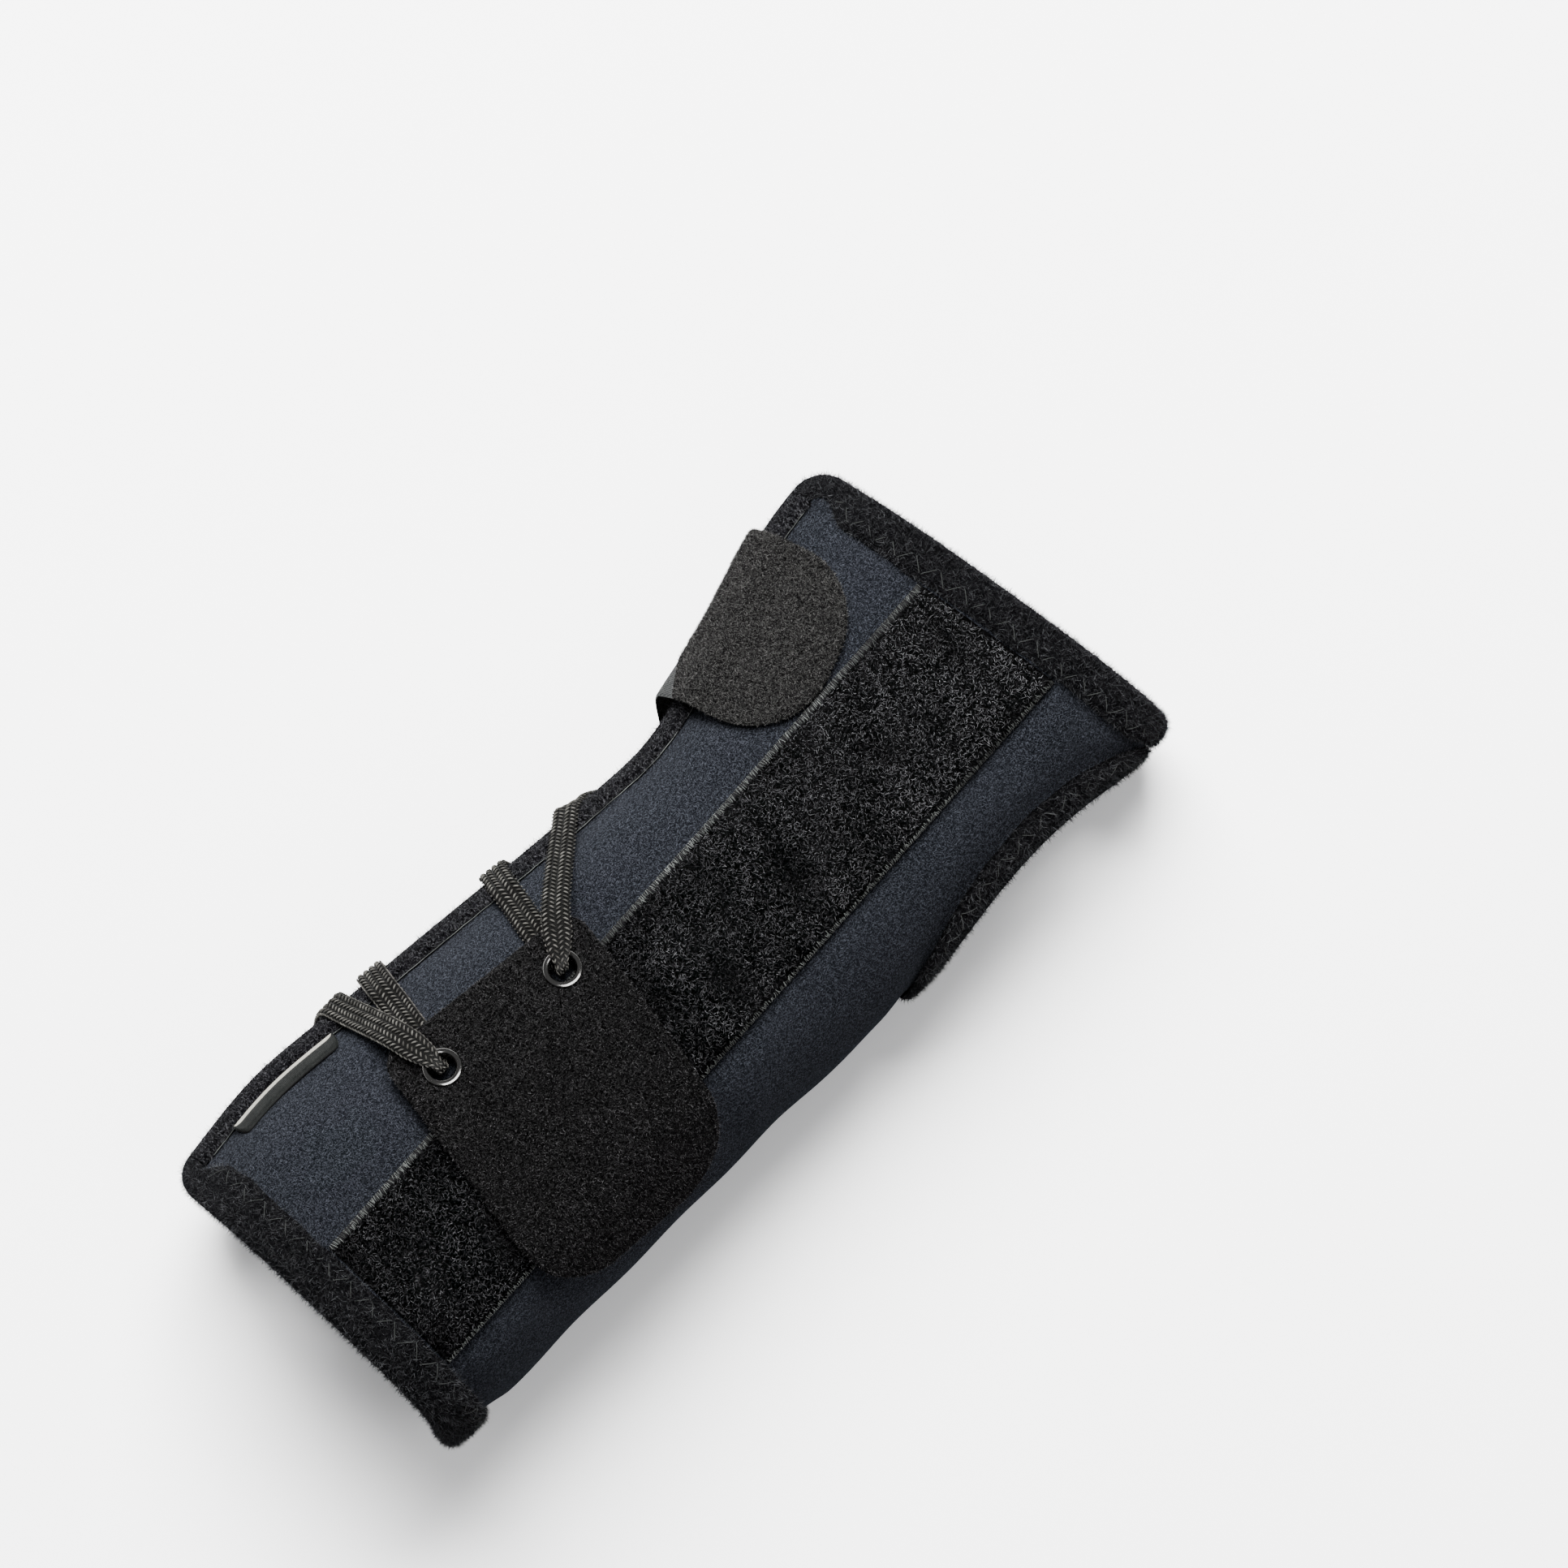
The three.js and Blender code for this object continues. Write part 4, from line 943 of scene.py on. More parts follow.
# fine cross ribs along both edges of the strip, with painted light on the ulnar ribs and painted
# shade on the radial ribs
def makeSelvedges(half, endAt, dice):
    p, uneven, parts = pocket, pocket["ribUneven"], []
    rings, sides = len(p["ribHeights"]), p["ribSides"]
    t = np.linspace(0, 1, rings)
    for side, long in zip((-1, 1), p["ribLength"][::-1]):
        x = np.arange(p["from"] + p["ribInset"], p["from"] + p["ribTo"], p["ribPitch"])
        x = x[x < endAt(side * half) - p["ribInset"]]
        ragged = lambda amount: dice.normal(0, amount, (len(x), 1))
        x = x + dice.normal(0, uneven["along"], len(x))
        long = np.maximum(p["ribShortest"], long + ragged(uneven["length"]))
        s = side * (half + p["ribOver"] - np.abs(ragged(uneven["edge"])) - t * long)
        h = p["seat"] + p["selvedge"] + np.array(p["ribHeights"])
        lines = wrap(x[:, None] + ragged(uneven["slant"]) * t, s, h)
        parts.append(tubes(lines, np.full(lines.shape[:2], p["ribRadius"]), sides))
    points, faces = joinParts(parts)
    stretch = 0.5 + 0.5 * waves(points[:, 0], 0 * points[:, 0], p["ribWaveSize"], seed=6)
    each = rings * sides
    dice = np.random.default_rng(p["ribSeed"])
    tone = np.repeat(dice.random(len(points) // each), each)
    # painted light and shade: the ulnar ribs are lighter and the radial ribs darker
    ulnar, radial = (a + b * stretch for a, b in (p["ribTone"]["ulnar"], p["ribTone"]["radial"]))
    sideLightAndShade = np.where(points[:, 1] > form["palmLineY"], ulnar, radial)
    tone = mix(p["ribDull"], 1, tone ** p["ribFade"]) * sideLightAndShade
    return makePiece("pocket_selvedges", "pile", points, faces, points, tone, look="thread")


# a strip laid on the pattern at a tilt: flat places from run and across, and back again
def stripPlaces(strip, run, across):
    tilt = radians(strip["tilt"])
    x = strip["x"] + run * sin(tilt) + across * cos(tilt)
    return x, strip["s"] - run * cos(tilt) + across * sin(tilt)


def onStrip(strip, x, s):
    tilt = radians(strip["tilt"])
    dx, ds = x - strip["x"], s - strip["s"]
    return dx * sin(tilt) - ds * cos(tilt), dx * cos(tilt) + ds * sin(tilt)


# distances along a strip with rounded ends, closer together at their rounding
def stripRuns(strip, nearSteps=9, farSteps=28):
    length, near, far = strip["length"], strip["nearRadius"], strip["farRadius"]
    nearRuns = near * (1 - np.cos(np.linspace(0, pi / 2, nearSteps)))[:-1]
    farRuns = length - far + far * np.sin(np.linspace(0, pi / 2, farSteps))
    return join([nearRuns, np.arange(near, length - far, strip["step"]), farRuns])


# shares across a strip from -1 to 1, closer together at its edges
def stripShares(strip):
    edges, middle = np.array(strip["edges"]), strip["middle"]
    return join([-edges, np.linspace(-middle, middle, strip["across"]), edges[::-1]])


# places across a strip, their distance from its sides and near end, and from any edge
def stripAcross(strip, run, share):
    left = strip["length"] - run
    half = strip["width"] / 2 - cornerInset(left, strip["farRadius"])
    half = half - cornerInset(run, strip["nearRadius"])
    across = half * share
    fromSides = least(half - np.abs(across), run)
    return across, fromSides, least(fromSides, left)


nap = {"length": (0.35, 0.75), "spread": 1.3, "upright": 0.15, "fade": 1.5}  # of strap and tab

# the strap over the opening: webbing with a napped patch on its rounded end
strap = {
    "x": 159.3, "tilt": 16, "width": 39.5, "reach": 29.8, "back": 26, "thick": 1.5,
    "nearRadius": 0, "farRadius": 17, "edgeRound": 0.7,
    "step": 1.0, "edges": (1, 0.985, 0.96), "middle": 0.92, "across": 36,
    "rest": 0.35, "overBinding": 1.85, "onEdgeRange": (0.5, 7), "sewnRange": (0.5, 4),
    "lift": 2.0, "bowInset": 3, "bowRange": (4, 15), "bowAcross": 5,
    "patchFrom": -4.6, "patchTo": 2.4, "patchLength": 13.0, "patchMost": 8.0, "patchRun": 12.0,
    "patchThick": 0.6, "patchStep": 0.25, "webThick": 0.27, "webGap": 0.03, "webRound": 0.4,
    "nap": {**nap, "count": 12000, "width": 0.075, "seed": 41},
}
strap["s"] = palmEdge(strap["x"])  # it turns round the palm edge
strap["length"] = strap["back"] + strap["reach"]


# where the napped patch ends and the bare webbing under it starts, along the strap
def patchEdge(across, rounds=8):
    tilt = radians(strap["tilt"])
    share = (across + strap["width"] / 2) / strap["patchLength"]
    past = least(mix(strap["patchFrom"], strap["patchTo"], share), strap["patchMost"])
    along = np.zeros_like(across)
    for _ in range(rounds):
        edge = palmEdge(stripPlaces(strap, along, across)[0])
        along = (across * sin(tilt) + strap["s"] - edge - past) / cos(tilt)
    return along


def makeStrap():
    back = strap["back"]
    rows = np.unique(join([stripRuns(strap), [back - strap["patchStep"], back]]).round(4))
    t = stripShares(strap)
    pull = np.interp(rows, [0, back, back + strap["patchRun"]], [0, 1, 0])
    run = rows[:, None] + pull[:, None] * patchEdge(t * strap["width"] / 2)
    webbing = (rows < back - strap["patchStep"] / 2)[:, None]
    across, fromSides, fromEdge = stripAcross(strap, run, t)
    x, s = stripPlaces(strap, run - back, across)
    past = s - palmEdge(x)
    onEdge = 1 - ramp(-past - reaches["palmEdge"], *strap["onEdgeRange"])
    sewn = ramp(past - form["openingGirth"] - reaches["backEdge"], *strap["sewnRange"])
    bowed = 1 - ramp(np.abs(past + strap["bowInset"]), *strap["bowRange"])
    loose = strap["lift"] * bowed * ramp(-across, -strap["bowAcross"], strap["width"] / 2)
    rest = mix(strap["rest"], strap["overBinding"], onEdge * (1 - sewn))
    middle = rest + loose + strap["thick"] / 2
    rounded = roundOff(fromEdge, strap["edgeRound"])
    plump = strap["thick"] / 2 * rounded
    top = middle + plump - strap["patchThick"] * webbing * rounded
    low, high = wrap(x, s, middle - plump), wrap(x, s, top)
    flat = flatPlaces(x, s, middle)
    web = sheetPiece("strap_web", "strap", low, high, (flat, flat), node="hand_strap")
    napped = np.broadcast_to(~webbing[:-1], (len(rows) - 1, len(t) - 1))
    pile = coverFibres("strap_nap", "strap", low, high, flat, strap["nap"], keep=napped)
    bare = slice(0, int(webbing.sum()))
    webLow = top + strap["webGap"]
    webHigh = webLow + strap["webThick"] * roundOff(fromSides, strap["webRound"])
    low, high, flat = wrap(x, s, webLow)[bare], wrap(x, s, webHigh)[bare], flat[bare]
    under = sheetPiece("strap_webbing", "strap", low, high, (flat, flat), look="underlayer")


# the nap tab that the lace pulls across the sleeve
tab = {
    "x": 69.3, "s": 29.8, "tilt": -10.3, "width": 51, "length": 64, "thick": 1.6,
    "nearRadius": 5, "farRadius": 19, "edgeRound": 0.8, "holeGap": 0.1,
    "step": 0.9, "edges": (1, 0.99, 0.97), "middle": 0.94, "across": 54,
    "overPocket": 2.05, "atEyelets": 2.35, "atFarEnd": 0.45, "pocketFrom": 7, "pocketTo": 0.5,
    "eyeletsFrom": 10, "eyeletsTo": 4, "wave": 0.1, "waveSize": 22, "waveRange": (2, 8),
    "nap": {**nap, "count": 18000, "width": 0.07, "seed": 51},
}


def tabHeight(s):
    half = pocket["width"] / 2
    climb = ramp(s, -half - tab["pocketFrom"], -half - tab["pocketTo"])
    rise = ramp(s, half - tab["eyeletsFrom"], half - tab["eyeletsTo"])
    return mix(mix(tab["atFarEnd"], tab["overPocket"], climb), tab["atEyelets"], rise)


def makeTab():
    run = stripRuns(tab)[:, None]
    across, _, fromEdge = stripAcross(tab, run, stripShares(tab))
    x, s = stripPlaces(tab, run, across)
    hole = eyelet["hole"] + eyelet["barrel"] + tab["holeGap"]
    inside = np.zeros(x.shape, bool)
    for end in ("distal", "proximal"):
        x, s, near = clearHole(x, s, *eyelet[end], hole, hole)
        inside |= near
    wave = tab["wave"] * waves(x, s, tab["waveSize"], seed=9) * ramp(fromEdge, *tab["waveRange"])
    middle = tabHeight(s) + tab["thick"] / 2 + wave
    plump = tab["thick"] / 2 * roundOff(fromEdge, tab["edgeRound"])
    low, high = wrap(x, s, middle - plump), wrap(x, s, middle + plump)
    flat, keep = flatPlaces(x, s, middle), quadsOutside(inside)
    cloth = sheetPiece("tab_cloth", "nap", low, high, (flat, flat), keep=keep, node="lace_tab")
    pile = coverFibres("tab_nap", "nap", low, high, flat, tab["nap"], keep=keep)


# pressed nickel eyelets: rolled crown, barrel and curled underside
eyelet = {
    "hole": 2.8, "barrel": 0.35, "rim": 4.15, "crown": 0.85, "crownFrom": 0.15, "crownSteps": 12,
    "underRim": 3.7, "underCrown": 0.7, "underFrom": 0.1, "underTurn": 0.2, "underSteps": 8,
    "seat": 0.05, "rimInset": 0.12, "sides": 64, "levelOver": 3,
    "distal": (83.4, 18.3), "proximal": (51.9, 23.2),
}


def makeEyelet(end):
    e, half = eyelet, tab["thick"] / 2
    (x, s), h, d = e[end], tab["atEyelets"] + half, e["levelOver"]
    alongSleeve = wrap(x + d, s, h) - wrap(x - d, s, h)
    axis = unit(np.cross(alongSleeve, wrap(x, s + d, h) - wrap(x, s - d, h)))
    first = unit(alongSleeve)
    second = np.cross(axis, first)

    def rolled(rim, base, rise, angles):
        middle, reach = (e["hole"] + rim) / 2, (rim - e["hole"]) / 2
        return [(middle + reach * cos(a), base + rise * sin(a)) for a in angles]

    outside, seat = e["hole"] + e["barrel"], half + e["seat"]
    profile = [
        (e["hole"], -half), (e["hole"], half),
        *rolled(e["rim"], half + e["crownFrom"], e["crown"] - e["crownFrom"],
                np.linspace(pi, 0, e["crownSteps"])),
        (e["rim"] - e["rimInset"], seat), (outside, seat), (outside, -seat), (e["underRim"], -seat),
        *rolled(e["underRim"], -half - e["underFrom"], e["underFrom"] - e["underCrown"],
                np.linspace(e["underTurn"], pi - e["underTurn"], e["underSteps"])),
    ]
    out, up = np.array(profile).T[..., None]
    turn = np.arange(e["sides"])[:, None, None] * 2 * pi / e["sides"]
    points = wrap(x, s, h) + out * (np.cos(turn) * first + np.sin(turn) * second) + up * axis
    quads = gridQuads(points.shape, True, True)[:, [0, 3, 2, 1]]
    points = points.reshape(-1, 3)
    node = "tab_eyelet_" + end
    makePiece(node + "_ring", "nickel", points, facedOut(points, quads), points, node=node)


# the lace: one flat braid from the casing, through both eyelets and back to the casing
lace = {
    "width": 6.3, "thick": 1.0, "squeezedWidth": 2.7, "squeezedThick": 1.2,
    "overEdge": 2.3, "edgeRun": 4.0, "beforeEdge": 1, "onTab": 5.7, "underTab": 0.86,
    "depth": 3.5, "turnRadius": 4.2, "turnShares": (0.35, 0.65),
    "mouthShares": (0.25, 0.5, 0.75, 1),
    # distance from the eyelet, drop below the leg, squeeze
    "topStops": [(1.1, 0.8, 1), (3.2, 0, 0.4), (6.5, 0, 0), (11.5, 0.5, 0)],
    "underStops": [(1.1, -0.75, 1), (3.2, 0, 0.35), (7, 0, 0)],
    # eyelet, x at the palm edge, x at the casing
    "distalTop": ("distal", 110, 119), "distalUnder": ("distal", 90, 93),
    "proximalUnder": ("proximal", 57.6, 59), "proximalTop": ("proximal", 47.4, 43.5),
    "spans": 24, "coreStep": 0.8, "coreSides": 16, "coreWidth": 0.93, "coreThick": 0.5,
    "coreRound": (0.6, 0.8), "columns": 4, "pitch": 0.455, "stitch": 1.15, "from": 1.0,
    "uneven": 0.03, "seed": 61, "slant": 0.42, "lean": 0.4, "strand": 0.22, "strandSides": 4,
    "strandSteps": 5, "bow": 0.94, "bowFrom": 0.25, "taper": 0.35, "squeezedStrand": 0.6,
    "edgeSlant": 0.45, "edgeTurn": 0.75, "edgeAt": 0.9, "edgeBow": 0.08, "edgeStrand": 0.8,
    "strandDull": 0.25, "strandFade": 1.3, "strandEndShade": 0.08,
}


# one leg of the lace, from its eyelet over the palm edge to the casing
def legStops(leg, onTop, side):
    eye, overX, endX = lace[leg]
    eyeX, eyeS = eyelet[eye]
    lipX, lipS = overX, float(palmEdge(overX))
    length = hypot(lipX - eyeX, lipS - eyeS)
    across = (side * (lipS - eyeS) / length, -side * (lipX - eyeX) / length)
    ramped = length - reaches["palmEdge"] - lace["beforeEdge"]
    height = lace["onTab"] if onTop else lace["underTab"]
    beside = lace["topStops"] if onTop else lace["underStops"]
    rows = [(d, height - drop, squeeze) for d, drop, squeeze in beside]
    if not onTop:
        far = ramped - lace["edgeRun"]
        rows += [((beside[-1][0] + far) / 2, height, 0), (far, height, 0)]
    rows += [(d, lace["overEdge"], 0) for d in (ramped, length - lace["edgeRun"], length)]
    stops = [(mix(eyeX, lipX, d / length), mix(eyeS, lipS, d / length), h, squeeze, *across)
             for d, h, squeeze in rows]
    for share in lace["mouthShares"]:
        x = mix(overX, endX, share)
        stops.append((x, float(palmEdge(x)) + mouth * share, lace["overEdge"], 0, side, 0))
    return stops


def laceStops():
    def inCasing(x, depth, acrossX, acrossS):
        return (x, float(palmEdge(x)) + mouth + depth, lace["overEdge"], 0, acrossX, acrossS)

    def inEyelet(eye, across):
        return (*eyelet[eye], tab["atEyelets"] + tab["thick"] / 2, 1, across, 0)

    depth, deep = lace["depth"], lace["depth"] + lace["width"] / 2
    start, end, radius = lace["distalUnder"][2], lace["proximalUnder"][2], lace["turnRadius"]
    slant = sqrt(0.5)  # half way round each bend
    bend = radius * (1 - slant)
    between = [mix(start, end, share) for share in lace["turnShares"]]
    inside = (start - radius, *between, end + radius)
    turn = [
        inCasing(start - bend, depth - bend, slant, slant),
        *(inCasing(x, depth, 0, 1) for x in inside),
        inCasing(end + bend, depth - bend, -slant, slant),
    ]
    return [
        inCasing(lace["distalTop"][2], deep, 1, 0), *legStops("distalTop", True, 1)[::-1],
        inEyelet("distal", 1), *legStops("distalUnder", False, 1), *turn,
        *legStops("proximalUnder", False, -1)[::-1], inEyelet("proximal", -1),
        *legStops("proximalTop", True, -1), inCasing(lace["proximalTop"][2], deep, -1, 0),
    ]


# the same smooth curve through the stops that the solid lace follows
def smoothRoute(stops, spans, aside=0.5):
    stops = np.array(stops, float)
    centre = wrap(stops[:, 0], stops[:, 1], stops[:, 2])
    beside = wrap(stops[:, 0] + aside * stops[:, 4], stops[:, 1] + aside * stops[:, 5], stops[:, 2])
    sideways = unit(beside - centre)
    p = join([[2 * centre[0] - centre[1]], centre, [2 * centre[-1] - centre[-2]]])
    gap = np.linalg.norm(np.diff(p, axis=0), axis=1) ** 0.5
    line, flat, squeeze = [], [], []
    t = np.linspace(0, 1, spans, endpoint=False)[:, None]
    for i in range(len(centre) - 1):
        a, b, c, d = p[i:i + 4]
        g0, g1, g2 = gap[i:i + 3]
        t1 = ((b - a) / g0 - (c - a) / (g0 + g1) + (c - b) / g1) * g1
        t2 = ((c - b) / g1 - (d - b) / (g1 + g2) + (d - c) / g2) * g1
        line.append(b + t1 * t + (-3 * b + 3 * c - 2 * t1 - t2) * t**2
                    + (2 * b - 2 * c + t1 + t2) * t**3)
        flat.append(mix(sideways[i], sideways[i + 1], t))
        squeeze.append(mix(stops[i, 3], stops[i + 1, 3], t[:, 0]))
    return join(line), join(flat), join(squeeze)


def makeLace():
    line, flat, squeeze = smoothRoute(laceStops(), lace["spans"])
    tangent = unit(np.gradient(line, axis=0))
    flat = unit(flat - (flat * tangent).sum(1)[:, None] * tangent)
    up = np.cross(tangent, flat)
    travel = join([[0], np.cumsum(np.linalg.norm(np.diff(line, axis=0), axis=1))])
    halfWidth = mix(lace["width"], lace["squeezedWidth"], squeeze) / 2
    halfThick = mix(lace["thick"], lace["squeezedThick"], squeeze) / 2

    def at(distance, across, height):
        distance, across, height = asGrids(distance, across, height)
        part = lambda v: np.stack([np.interp(distance, travel, v[:, k]) for k in range(3)], -1)
        wide = (across * np.interp(distance, travel, halfWidth))[..., None]
        tall = (height * np.interp(distance, travel, halfThick))[..., None]
        return part(line) + wide * part(flat) + tall * part(up)

    # a dark rounded core, thinner than the braid; its dark colour is painted shade where it shows
    # between the strands
    turn = np.arange(lace["coreSides"]) * 2 * pi / lace["coreSides"]
    coreAcross = lace["coreWidth"] * signedPower(np.cos(turn), lace["coreRound"][0])
    coreHigh = lace["coreThick"] * signedPower(np.sin(turn), lace["coreRound"][1])
    core = at(np.arange(0, travel[-1], lace["coreStep"])[:, None], coreAcross, coreHigh)

    # slanted strands on both faces, each column slanting the other way, and a rolled edge
    dice = np.random.default_rng(lace["seed"])
    t = np.linspace(-1, 1, lace["strandSteps"])
    bow = np.sqrt(1 - lace["bow"] * t**2)
    lines, radii = [], []

    def addStrands(start, along, across, high, thick):
        starts = np.arange(start, travel[-1] - lace["from"], lace["stitch"])
        starts = starts + dice.normal(0, lace["uneven"], len(starts))
        distance = np.clip(starts[:, None] + along, 0, travel[-1])
        wide = np.interp(distance, travel, halfWidth) / (lace["width"] / 2)
        lines.append(at(distance, across, high))
        radii.append(thick * mix(lace["taper"], 1, bow) * mix(lace["squeezedStrand"], 1, wide))

    for face in (1, -1):
        for column in range(lace["columns"]):
            odd = column % 2
            along = lace["slant"] * t * (1 if odd else -1) * face
            middle = (column - (lace["columns"] - 1) / 2) * lace["pitch"]
            across = middle + lace["lean"] * lace["pitch"] * t
            addStrands(lace["from"] + 0.5 * lace["stitch"] * odd, along, across,
                       face * mix(lace["bowFrom"], 1, bow), lace["strand"])
    for side in (1, -1):
        across = side * (lace["edgeAt"] + lace["edgeBow"] * bow)
        addStrands(lace["from"], lace["edgeSlant"] * t, across, lace["edgeTurn"] * t,
                   lace["edgeStrand"] * lace["strand"])
    lines, radii, sides = join(lines), join(radii), lace["strandSides"]
    points, faces = joinParts([(core, tubeFaces(*core.shape[:2])), tubes(lines, radii, sides)])
    # each strand's tone is random, times painted highlight on its middle and painted shade at its
    # ends where it dips under the others
    tone = mix(lace["strandDull"], 1, dice.random(len(lines)) ** lace["strandFade"])[:, None]
    tone = np.repeat(tone * mix(lace["strandEndShade"], 1, bow**2), sides, axis=1).ravel()
    tone = join([np.zeros(core.shape[0] * core.shape[1]), tone])
    makePiece("lace_braid", "braid", points, faces, points, tone, node="lace")
    print("lace length in mm:", round(float(travel[-1]), 1))


# a plain strip on the back panel that holds the lace, sewn down along its far side
casing = {
    "from": 37, "to": 126, "width": 10.5, "tunnel": 7, "slope": 1.6, "thick": 0.8, "overLace": 3.15,
    "seat": 0.3, "pastMouth": 0.6, "wave": 0.06, "waveSize": 14, "edgeRound": 0.4, "along": 100,
    "lipSteps": (0, 0.12, 0.35), "tunnelSteps": (0.8, 9), "slopeSteps": (0.3, 5),
    "footSteps": (0.8, 1.5), "edgeStep": 0.15, "seams": (9.1, 10.0), "seamHeight": 1.15,
    "seamSwing": 0.07, "seamBeat": 1.9, "seamSteps": 180, "seamRadius": 0.12, "seamInset": 0.5,
}


def casingS(x, depth):
    return palmEdge(x) + (mouth + casing["pastMouth"]) + depth


def makeCasing():
    wide, tunnel = casing["width"], casing["tunnel"]
    foot = tunnel + casing["slope"]
    (inTunnel, tunnelCount), (onSlope, slopeCount) = casing["tunnelSteps"], casing["slopeSteps"]
    depth = join([casing["lipSteps"], np.linspace(inTunnel, tunnel, tunnelCount),
                  np.linspace(tunnel + onSlope, foot, slopeCount),
                  foot + np.array(casing["footSteps"]), [wide - casing["edgeStep"], wide]])
    x = np.linspace(casing["from"], casing["to"], casing["along"])[:, None]
    s = casingS(x, depth)
    x = np.broadcast_to(x, s.shape)
    fromEdge = least(x - casing["from"], casing["to"] - x, depth, wide - depth)
    low = mix(casing["overLace"], casing["seat"], ramp(depth, tunnel, foot))
    middle = low + casing["thick"] / 2 + casing["wave"] * waves(x, s, casing["waveSize"], seed=4)
    plump = casing["thick"] / 2 * roundOff(fromEdge, casing["edgeRound"])
    flat = flatPlaces(x, s, middle)
    low, high = wrap(x, s, middle - plump), wrap(x, s, middle + plump)
    piece = sheetPiece("casing_strip", "knit", low, high, (flat, flat), node="lace_casing")


# the small folded label, left bare: two layers with the fold towards the palm
label = {
    "from": 15, "to": 42.8, "width": 4.2, "layer": 0.38, "gape": 0.55, "gapeRun": 0.6,
    "corner": 2.2, "inset": 0.6, "seat": 0.35, "sag": 0.075, "along": 56,
    "layerSteps": 14, "foldSteps": 9, "stripe": 0.8, "stripeRange": (0.62, 0.68),
}


def makeLabel():
    x = np.linspace(label["from"], label["to"], label["along"])[:, None]
    t = np.linspace(0, 1, label["layerSteps"])
    turn = np.linspace(-pi / 2, pi / 2, label["foldSteps"])[1:-1]
    half, layer = (label["layer"] + label["gape"]) / 2, label["layer"] / 2
    straight, bend = label["width"] - half, half * ramp(t, 0, label["gapeRun"])
    depth = join([t * straight, straight + half * np.cos(turn), (1 - t) * straight])
    height = join([half - bend, half + half * np.sin(turn), half + bend[::-1]])
    flatLayer = np.ones(len(t))
    normalD = join([0 * flatLayer, np.cos(turn), 0 * flatLayer])
    normalH = join([-flatLayer, np.sin(turn), flatLayer])
    start = palmEdge(x) - reaches["palmEdge"] - label["inset"]
    sag = label["sag"] * np.sin(pi * (x - label["from"]) / (label["to"] - label["from"]))
    corner = roundOff(least(x - label["from"], label["to"] - x), label["corner"])
    sagging = sag * (depth / label["width"])
    grids = []
    for side in (-1, 1):
        inward = corner * depth + side * layer * normalD
        over = label["seat"] + layer + height + side * layer * normalH + sagging
        grids.append(wrap(x, start - inward, over))
    s = start - travelled(depth, height)
    flat = flatPlaces(x, s, 0)
    stripe = label["stripe"] * ramp(1 - t, *label["stripeRange"])[::-1]
    stripe = np.broadcast_to(join([np.zeros(len(t) + len(turn)), stripe]), s.shape)
    piece = sheetPiece("label_fold", "woven", *grids, (flat, flat), (stripe, stripe),
                       node="label_tab")


# zigzag threads on the bindings and seam lines beside the flat ones
stitching = {
    "zigzagPitch": 6.0, "zigzagDeep": 3.4, "zigzagInset": 0.9, "zigzagFrom": 6, "zigzagSteps": 7,
    "leastReach": 5, "threadHeight": 1.3, "threadRise": 0.6, "threadRound": 0.6, "threadSink": 0.34,
    "sinkSize": 16, "threadRadius": 0.09, "threadSides": 5, "overFloor": 2.5, "zigzagTone": 0.13,
    "seamOut": 0.12, "seamSwing": 0.06, "seamBeat": 1.7, "seamTrim": 2, "seamHeight": 0.42,
    "seamRadius": 0.075, "seamTone": 0.3, "seamUneven": 0.15, "seamSize": 9,
}


def threadTube(line, radius):
    return tubes(line[None], np.full((1, len(line)), radius), stitching["threadSides"])


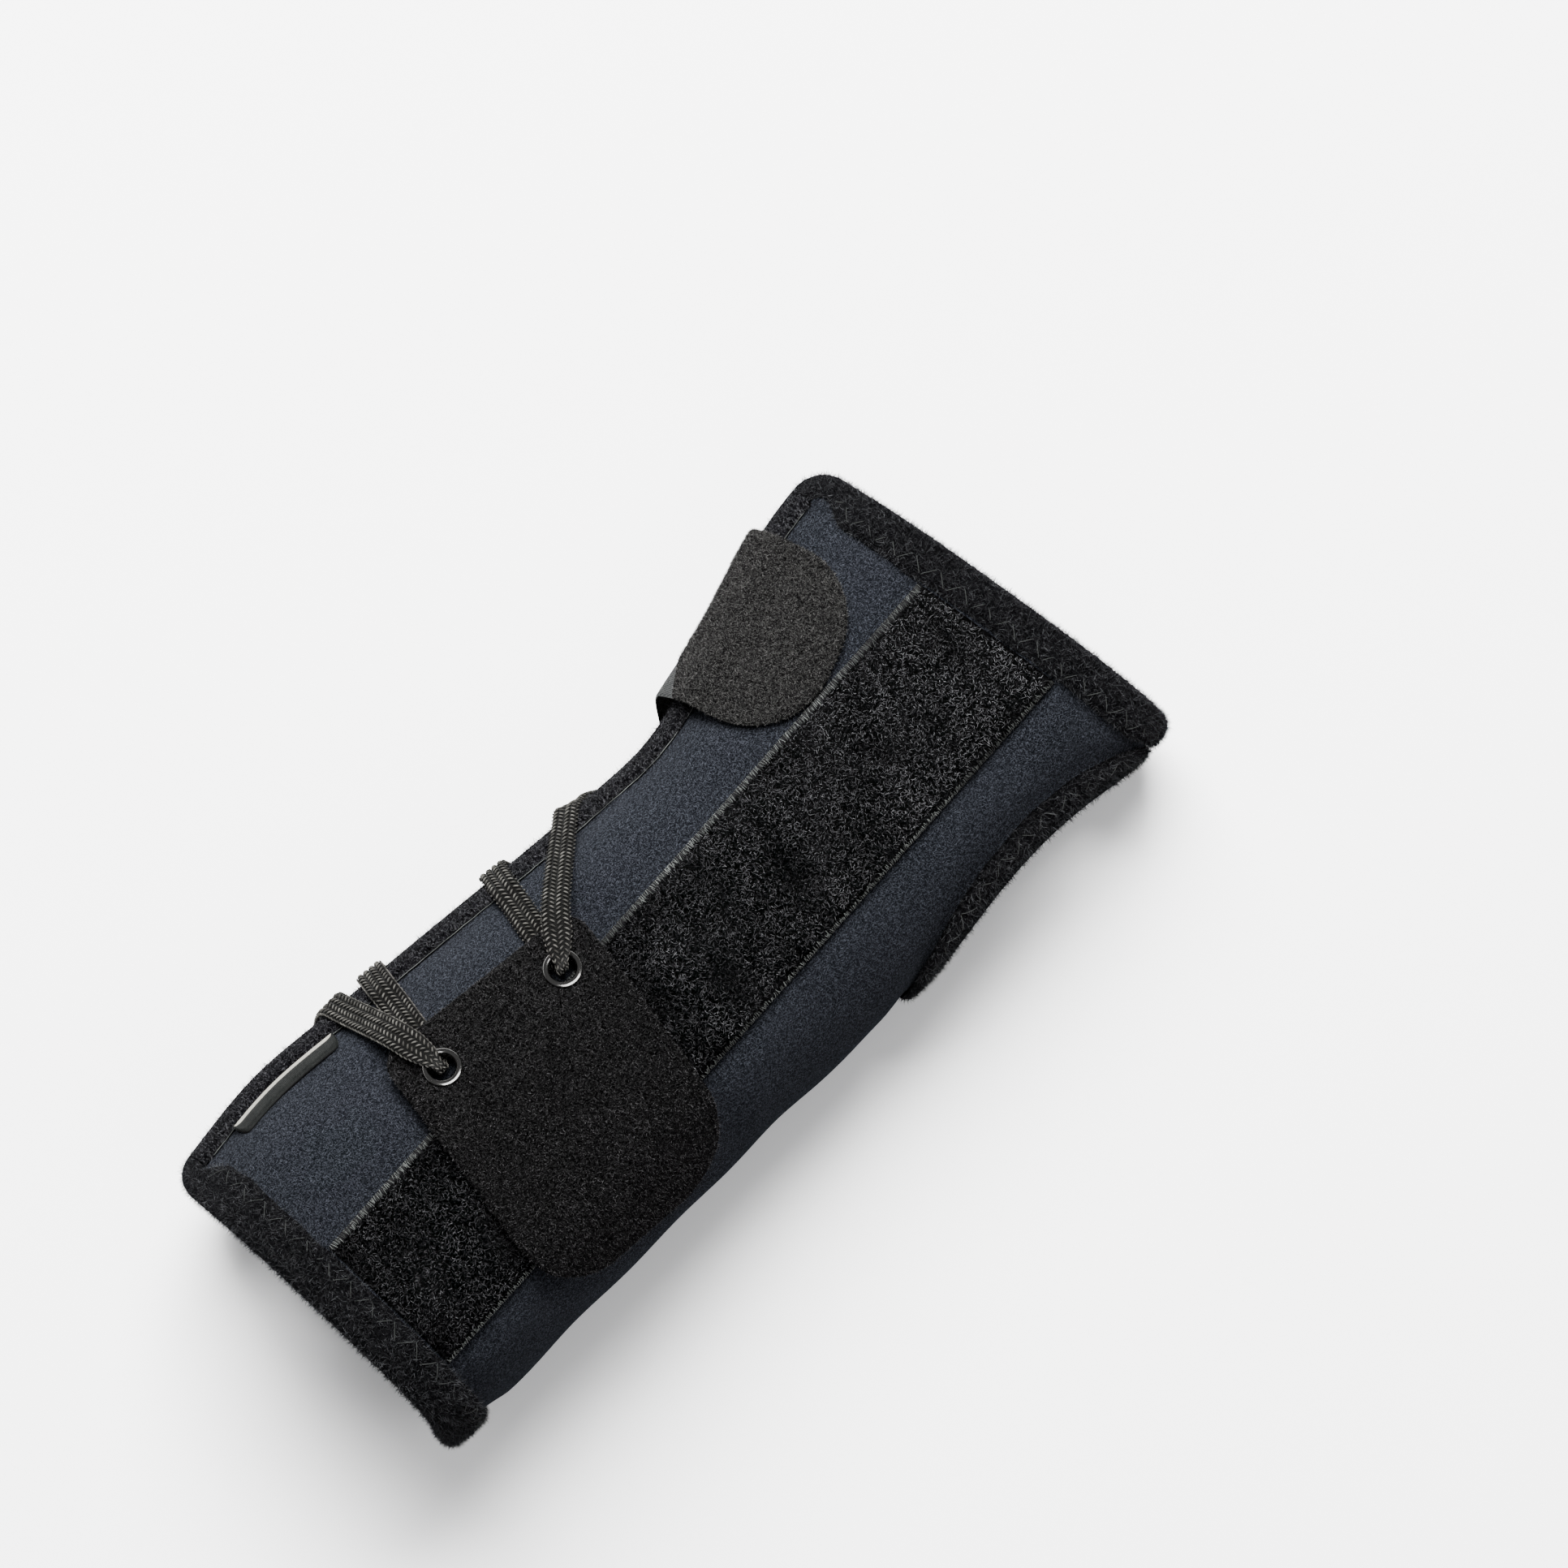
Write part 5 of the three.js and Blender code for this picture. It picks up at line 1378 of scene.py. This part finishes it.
def makeStitches(bound):
    st, parts = stitching, []
    t = np.linspace(0, 1, st["zigzagSteps"])
    rise = st["threadHeight"] + st["threadRise"] * np.sin(pi * t) ** st["threadRound"]
    for edge, inX, inS, reach in (bound[name] for name in ("distal", "proximal", "thumb")):
        travel = travelled(edge["x"], edge["s"])
        corners = np.arange(st["zigzagFrom"], travel[-1] - st["zigzagFrom"], st["zigzagPitch"] / 2)
        wide = np.interp(corners, travel, reach)
        for k in range(len(corners) - 1):
            if min(wide[k], wide[k + 1]) < st["leastReach"]:
                continue
            d = mix(corners[k], corners[k + 1], t)
            read = lambda values: np.interp(d, travel, values)
            b = read(reach) - st["zigzagInset"] - st["zigzagDeep"] * (t if k % 2 else 1 - t)
            x, s = read(edge["x"]) + b * read(inX), read(edge["s"]) + b * read(inS)
            sink = st["threadSink"] * (0.5 + 0.5 * waves(x, s, st["sinkSize"], seed=23))
            thread = wrap(x, s, rise - sink)
            if thread[:, 2].min() > st["overFloor"]:
                parts.append(threadTube(thread, st["threadRadius"]))
    points, faces = joinParts(parts)
    tone = np.full(len(points), st["zigzagTone"])
    makePiece("binding_stitches", "plush", points, faces, points, tone, look="thread")
    parts = []
    for edge, inX, inS, reach in (bound["palm"], bound["back"]):
        b = reach + st["seamOut"] + st["seamSwing"] * np.sin(np.arange(len(reach)) * st["seamBeat"])
        line = wrap(edge["x"] + b * inX, edge["s"] + b * inS, st["seamHeight"])
        parts.append(threadTube(line[st["seamTrim"]:-st["seamTrim"]], st["seamRadius"]))
    x = np.linspace(casing["from"] + casing["seamInset"], casing["to"] - casing["seamInset"],
                    casing["seamSteps"])
    h = casing["seamHeight"] + casing["seamSwing"] * np.sin(np.arange(len(x)) * casing["seamBeat"])
    for depth in casing["seams"]:
        parts.append(threadTube(wrap(x, casingS(x, depth), h), casing["seamRadius"]))
    points, faces = joinParts(parts)
    tone = waves(points[:, 0], points[:, 1], st["seamSize"], seed=3)
    tone = st["seamTone"] + st["seamUneven"] * tone
    makePiece("edge_seams", "knit", points, faces, points, tone, look="thread")


makeSleeve()
print("sleeve made")
bound = makeBindings()
print("bindings made")
makeStudio(*makeCamera())
print("camera and studio made")
makePocket()
print("stay pocket made")
makeStrap()
print("strap made")
makeTab()
print("lace tab made")
makeEyelet("distal")
makeEyelet("proximal")
print("eyelets made")
makeLace()
print("lace made")
makeCasing()
makeLabel()
print("casing and label made")
makeStitches(bound)
print("stitches made")

pieces = [o.data for o in scene.objects if o.type == "MESH" and o.data.attributes.get("cloth")]
counts = [sum(len(face.vertices) - 2 for face in mesh.polygons) for mesh in pieces]
print("triangles added:", sum(counts), "most in one piece:", max(counts))
